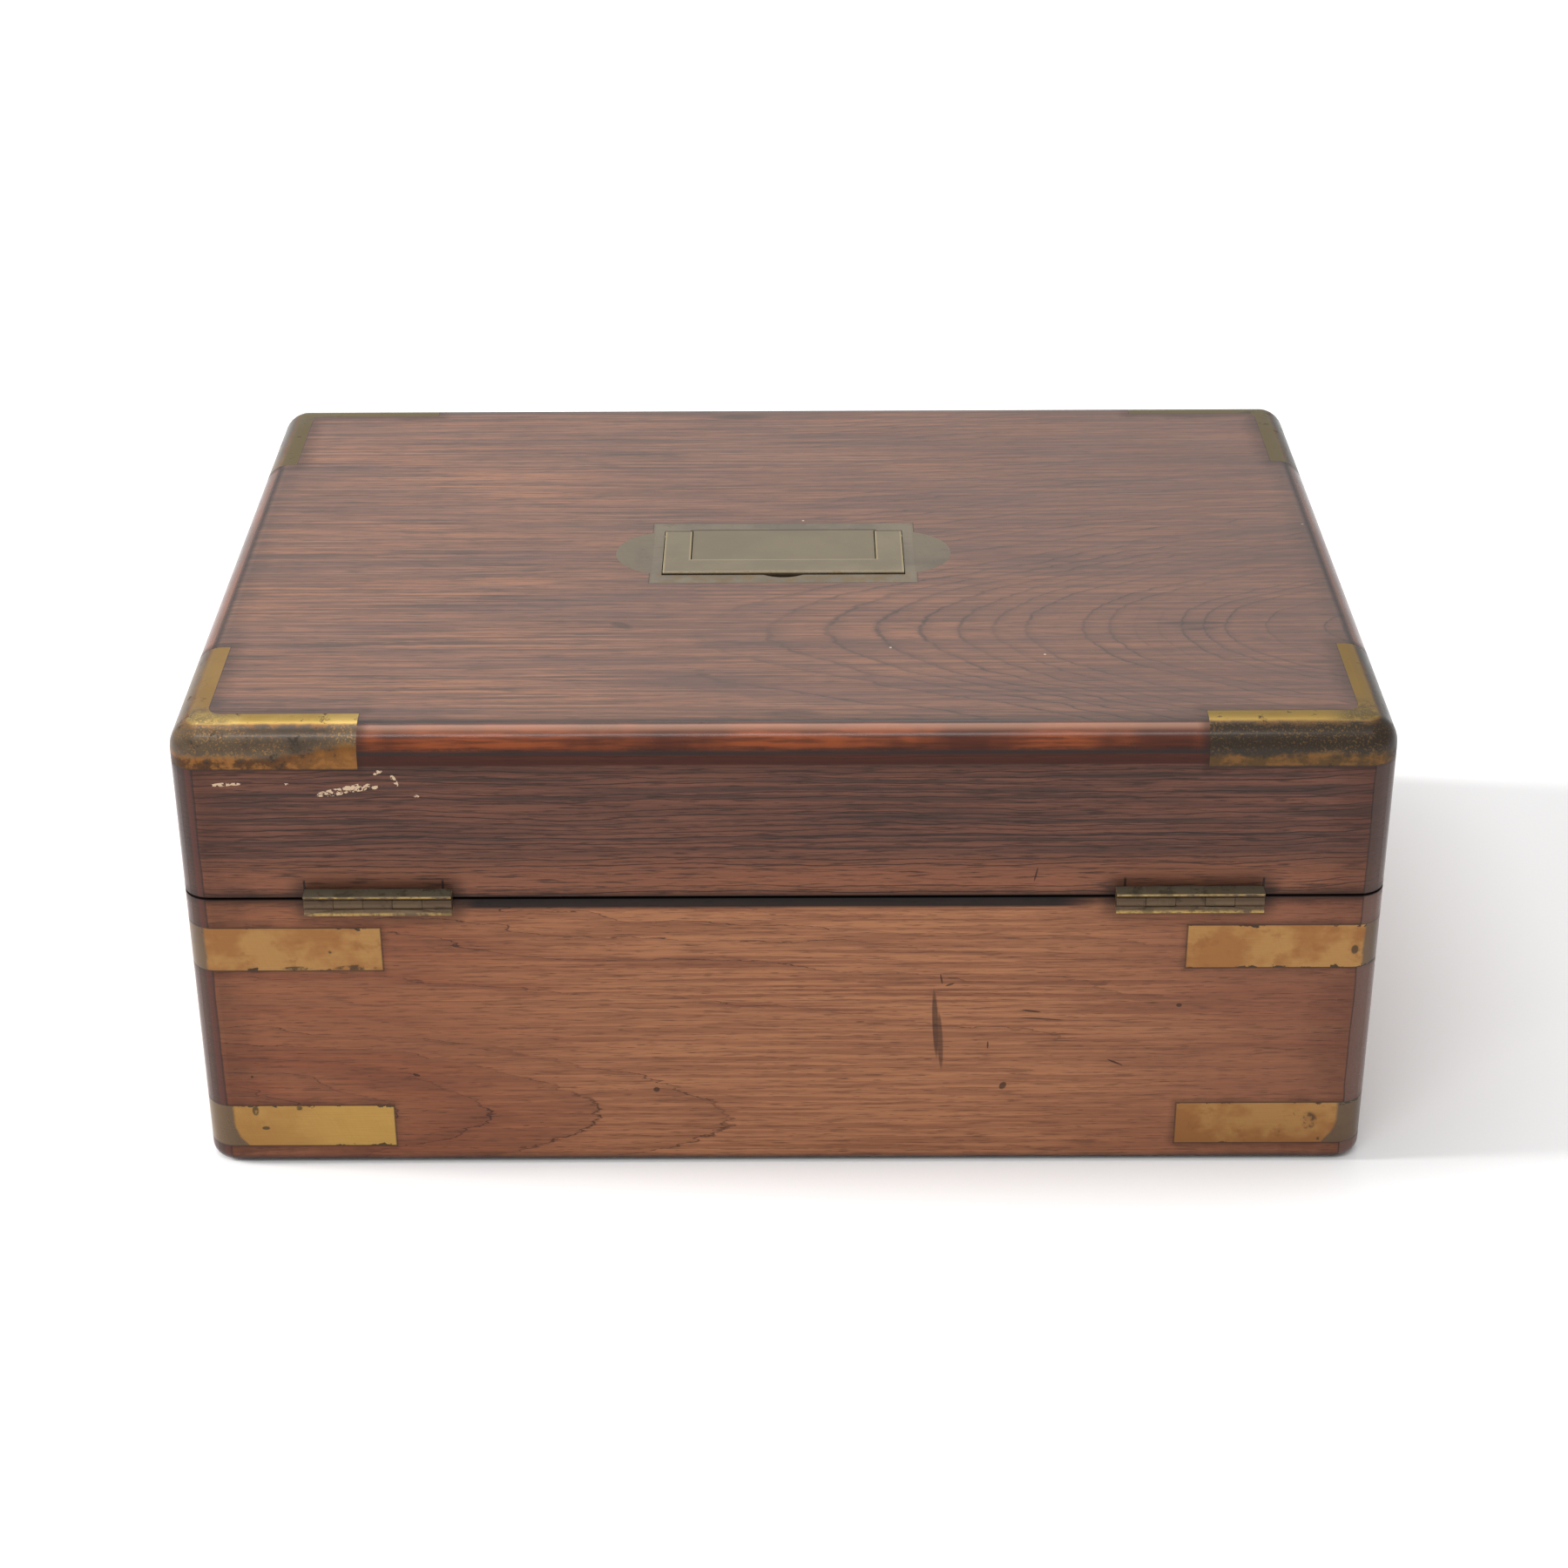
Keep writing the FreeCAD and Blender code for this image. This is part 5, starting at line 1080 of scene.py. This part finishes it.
def add_lining():
    half_x, half_y, back = (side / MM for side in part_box("lid_lining")[1])
    step = 1.6
    nx, ny = round(2 * half_x / step), round(2 * half_y / step)
    verts = []
    for i in range(nx + 1):
        for j in range(ny + 1):
            x, y = -half_x + 2 * half_x * i / nx, -half_y + 2 * half_y * j / ny
            verts.append((x, y, back - BACKING - puff(x, y, half_x, half_y)))
    row = ny + 1
    corners = [i * row + j for i in range(nx) for j in range(ny)]
    faces = [(k, k + 1, k + row + 1, k + row) for k in corners]
    outline = [i * row for i in range(nx + 1)] + [nx * row + j for j in range(1, row)]
    outline += [i * row + ny for i in range(nx - 1, -1, -1)] + list(range(ny - 1, 0, -1))
    start = len(verts)
    verts += [(verts[k][0], verts[k][1], back) for k in outline]
    behind = range(start, len(verts))
    faces += wall(outline, behind)
    faces.append(list(reversed(behind)))
    lining = add_piece("quilted_lining", verts, faces, "lid", "velvet")
    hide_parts("lid_lining")
    add_buttons(half_x, half_y, back)


def add_buttons(half_x, half_y, back):
    """Covered buttons where the folds cross."""
    verts, faces = [], []
    crown, rings = 1.5, ((1.2, 1.35), (2.1, 0.8), (2.5, 0), (2.3, -0.8))    # radius and height of each ring
    around = 16
    turns = [2 * pi * k / around for k in range(around)]
    reach = int(2 * half_x / TUFT) + 2
    for i in range(-reach, reach + 1):
        for j in range(-reach, reach + 1):
            x, y = (i + j) * TUFT / 2, (i - j) * TUFT / 2
            if abs(x) > half_x - 12 or abs(y) > half_y - 12:
                continue
            floor = back - BACKING - puff(x, y, half_x, half_y)
            start = len(verts)
            verts.append((x, y, floor - crown))
            for r, h in rings:
                verts += [(x + r * cos(t), y + r * sin(t), floor - h) for t in turns]
            faces += [(start, start + 1 + (k + 1) % around, start + 1 + k) for k in range(around)]
            for ring in range(len(rings) - 1):
                a, b = start + 1 + ring * around, start + 1 + (ring + 1) * around
                faces += [(a + k, a + (k + 1) % around, b + (k + 1) % around, b + k) for k in range(around)]
    add_piece("lining_buttons", verts, faces, "lid", "velvet")


SOFT_EDGES = {                # rounding in millimetres
    0.5: "partition_left partition_right", 0.4: "accessory_tray", 0.35: "handle_bail", 0.3: "tray_ledges",
    0.25: "lock_body gimbal_bracket_left gimbal_bracket_right", 0.2: "link_plate winding_key gimbal_lock_arm",
    0.18: "hinge_lid_leaves hinge_base_leaves", 0.15: "lock_bolt lock_key", 0.12: "handle_plate",
    0.06: "hour_hand minute_hand",
}
joined_faces = merged_faces()
for width, node_names in SOFT_EDGES.items():
    for node_name in node_names.split():
        soften(NODES[node_name], width, joined_faces)
add_dial_marks()
add_bezel()
add_lining()


# ---- stage
def paper_floor():
    g = Graph("floor_paper")
    x, y, z = g.position()
    tooth = g.noise((x * 0.8, y * 0.8, z), 2)
    colour = g.mix(tooth, (0.905, 0.905, 0.905), (0.925, 0.925, 0.925))
    return g.surface(Base_Color=colour, Roughness=0.9, Specular_IOR_Level=0.1)


def add_floor():
    half = 60               # metres, so that its edge is lost in the background
    corners = [(-half, -half, 0), (half, -half, 0), (half, half, 0), (-half, half, 0)]
    mesh = bpy.data.meshes.new("floor")
    mesh.from_pydata(corners, [], [(0, 1, 2, 3)])
    mesh.materials.append(paper_floor())
    floor = add_object("floor", mesh)


def add_world(strength):
    world = bpy.data.worlds.new("studio")
    scene.world = world
    world.use_nodes = True
    sky = world.node_tree.nodes["Background"]
    sky.inputs["Color"].default_value = (1, 1, 1, 1)
    sky.inputs["Strength"].default_value = strength


def aimed(location, target):
    way = Vector(target) - Vector(location)
    return Matrix.Translation(location) @ way.to_track_quat("-Z", "Y").to_matrix().to_4x4()


def add_light(name, kind, energy, location, target):
    lamp = bpy.data.lights.new(name, kind)
    lamp.energy = energy
    light = add_object(name, lamp)
    light.matrix_world = aimed(location, target)
    return light


def add_area(name, location, target, size_x, size_y, watts):
    lamp = add_light(name, "AREA", watts, location, target).data
    lamp.shape = "RECTANGLE"
    lamp.size, lamp.size_y = size_x, size_y


def add_sun(name, direction, strength, angle):
    """A sun that lights the pieces but leaves no glare on their polish."""
    light = add_light(name, "SUN", strength, direction, (0, 0, 0))
    light.data.angle = radians(angle)
    light.visible_glossy = False


SENSOR_MM, LENS_MM = 36, 70.725
CAMERA_AT = 2.43, -843.08, 516.99             # millimetres
CAMERA_TURNS = 28.468, -0.177, -0.287         # degrees down, across and over


def add_camera():
    """The main view of the hinged side, given as a place and three turns."""
    data = bpy.data.cameras.new("camera")
    data.sensor_width, data.lens = SENSOR_MM, LENS_MM
    data.clip_end = 50
    camera = add_object("camera", data)
    down, across, over = (radians(a) for a in CAMERA_TURNS)
    aim = Matrix.Rotation(-across, 4, "Z") @ Matrix.Rotation(pi / 2 - down, 4, "X")
    camera.matrix_world = Matrix.Translation(Vector(CAMERA_AT) * MM) @ aim @ Matrix.Rotation(over, 4, "Z")
    scene.camera = camera


scene.view_settings.view_transform = "Standard"
add_floor()
add_world(0.62)
WINDOW = (12, 1.3), (20, 1.3), (29, 1), (40, 0.6)    # degrees above the floor, strength
PANE_ANGLE = 13
for pane, (height, strength) in enumerate(WINDOW):
    slope = radians(height)
    add_sun(f"window_{pane}", (-cos(slope), 0.02, sin(slope)), strength, PANE_ANGLE)
add_area("strip", (-0.1, -0.8, 1.25), (0, -0.05, 0.1), 0.9, 0.14, 5)
add_area("overhead", (-0.1, 0.25, 1.25), (0, 0, 0.1), 0.9, 0.55, 5)
add_camera()
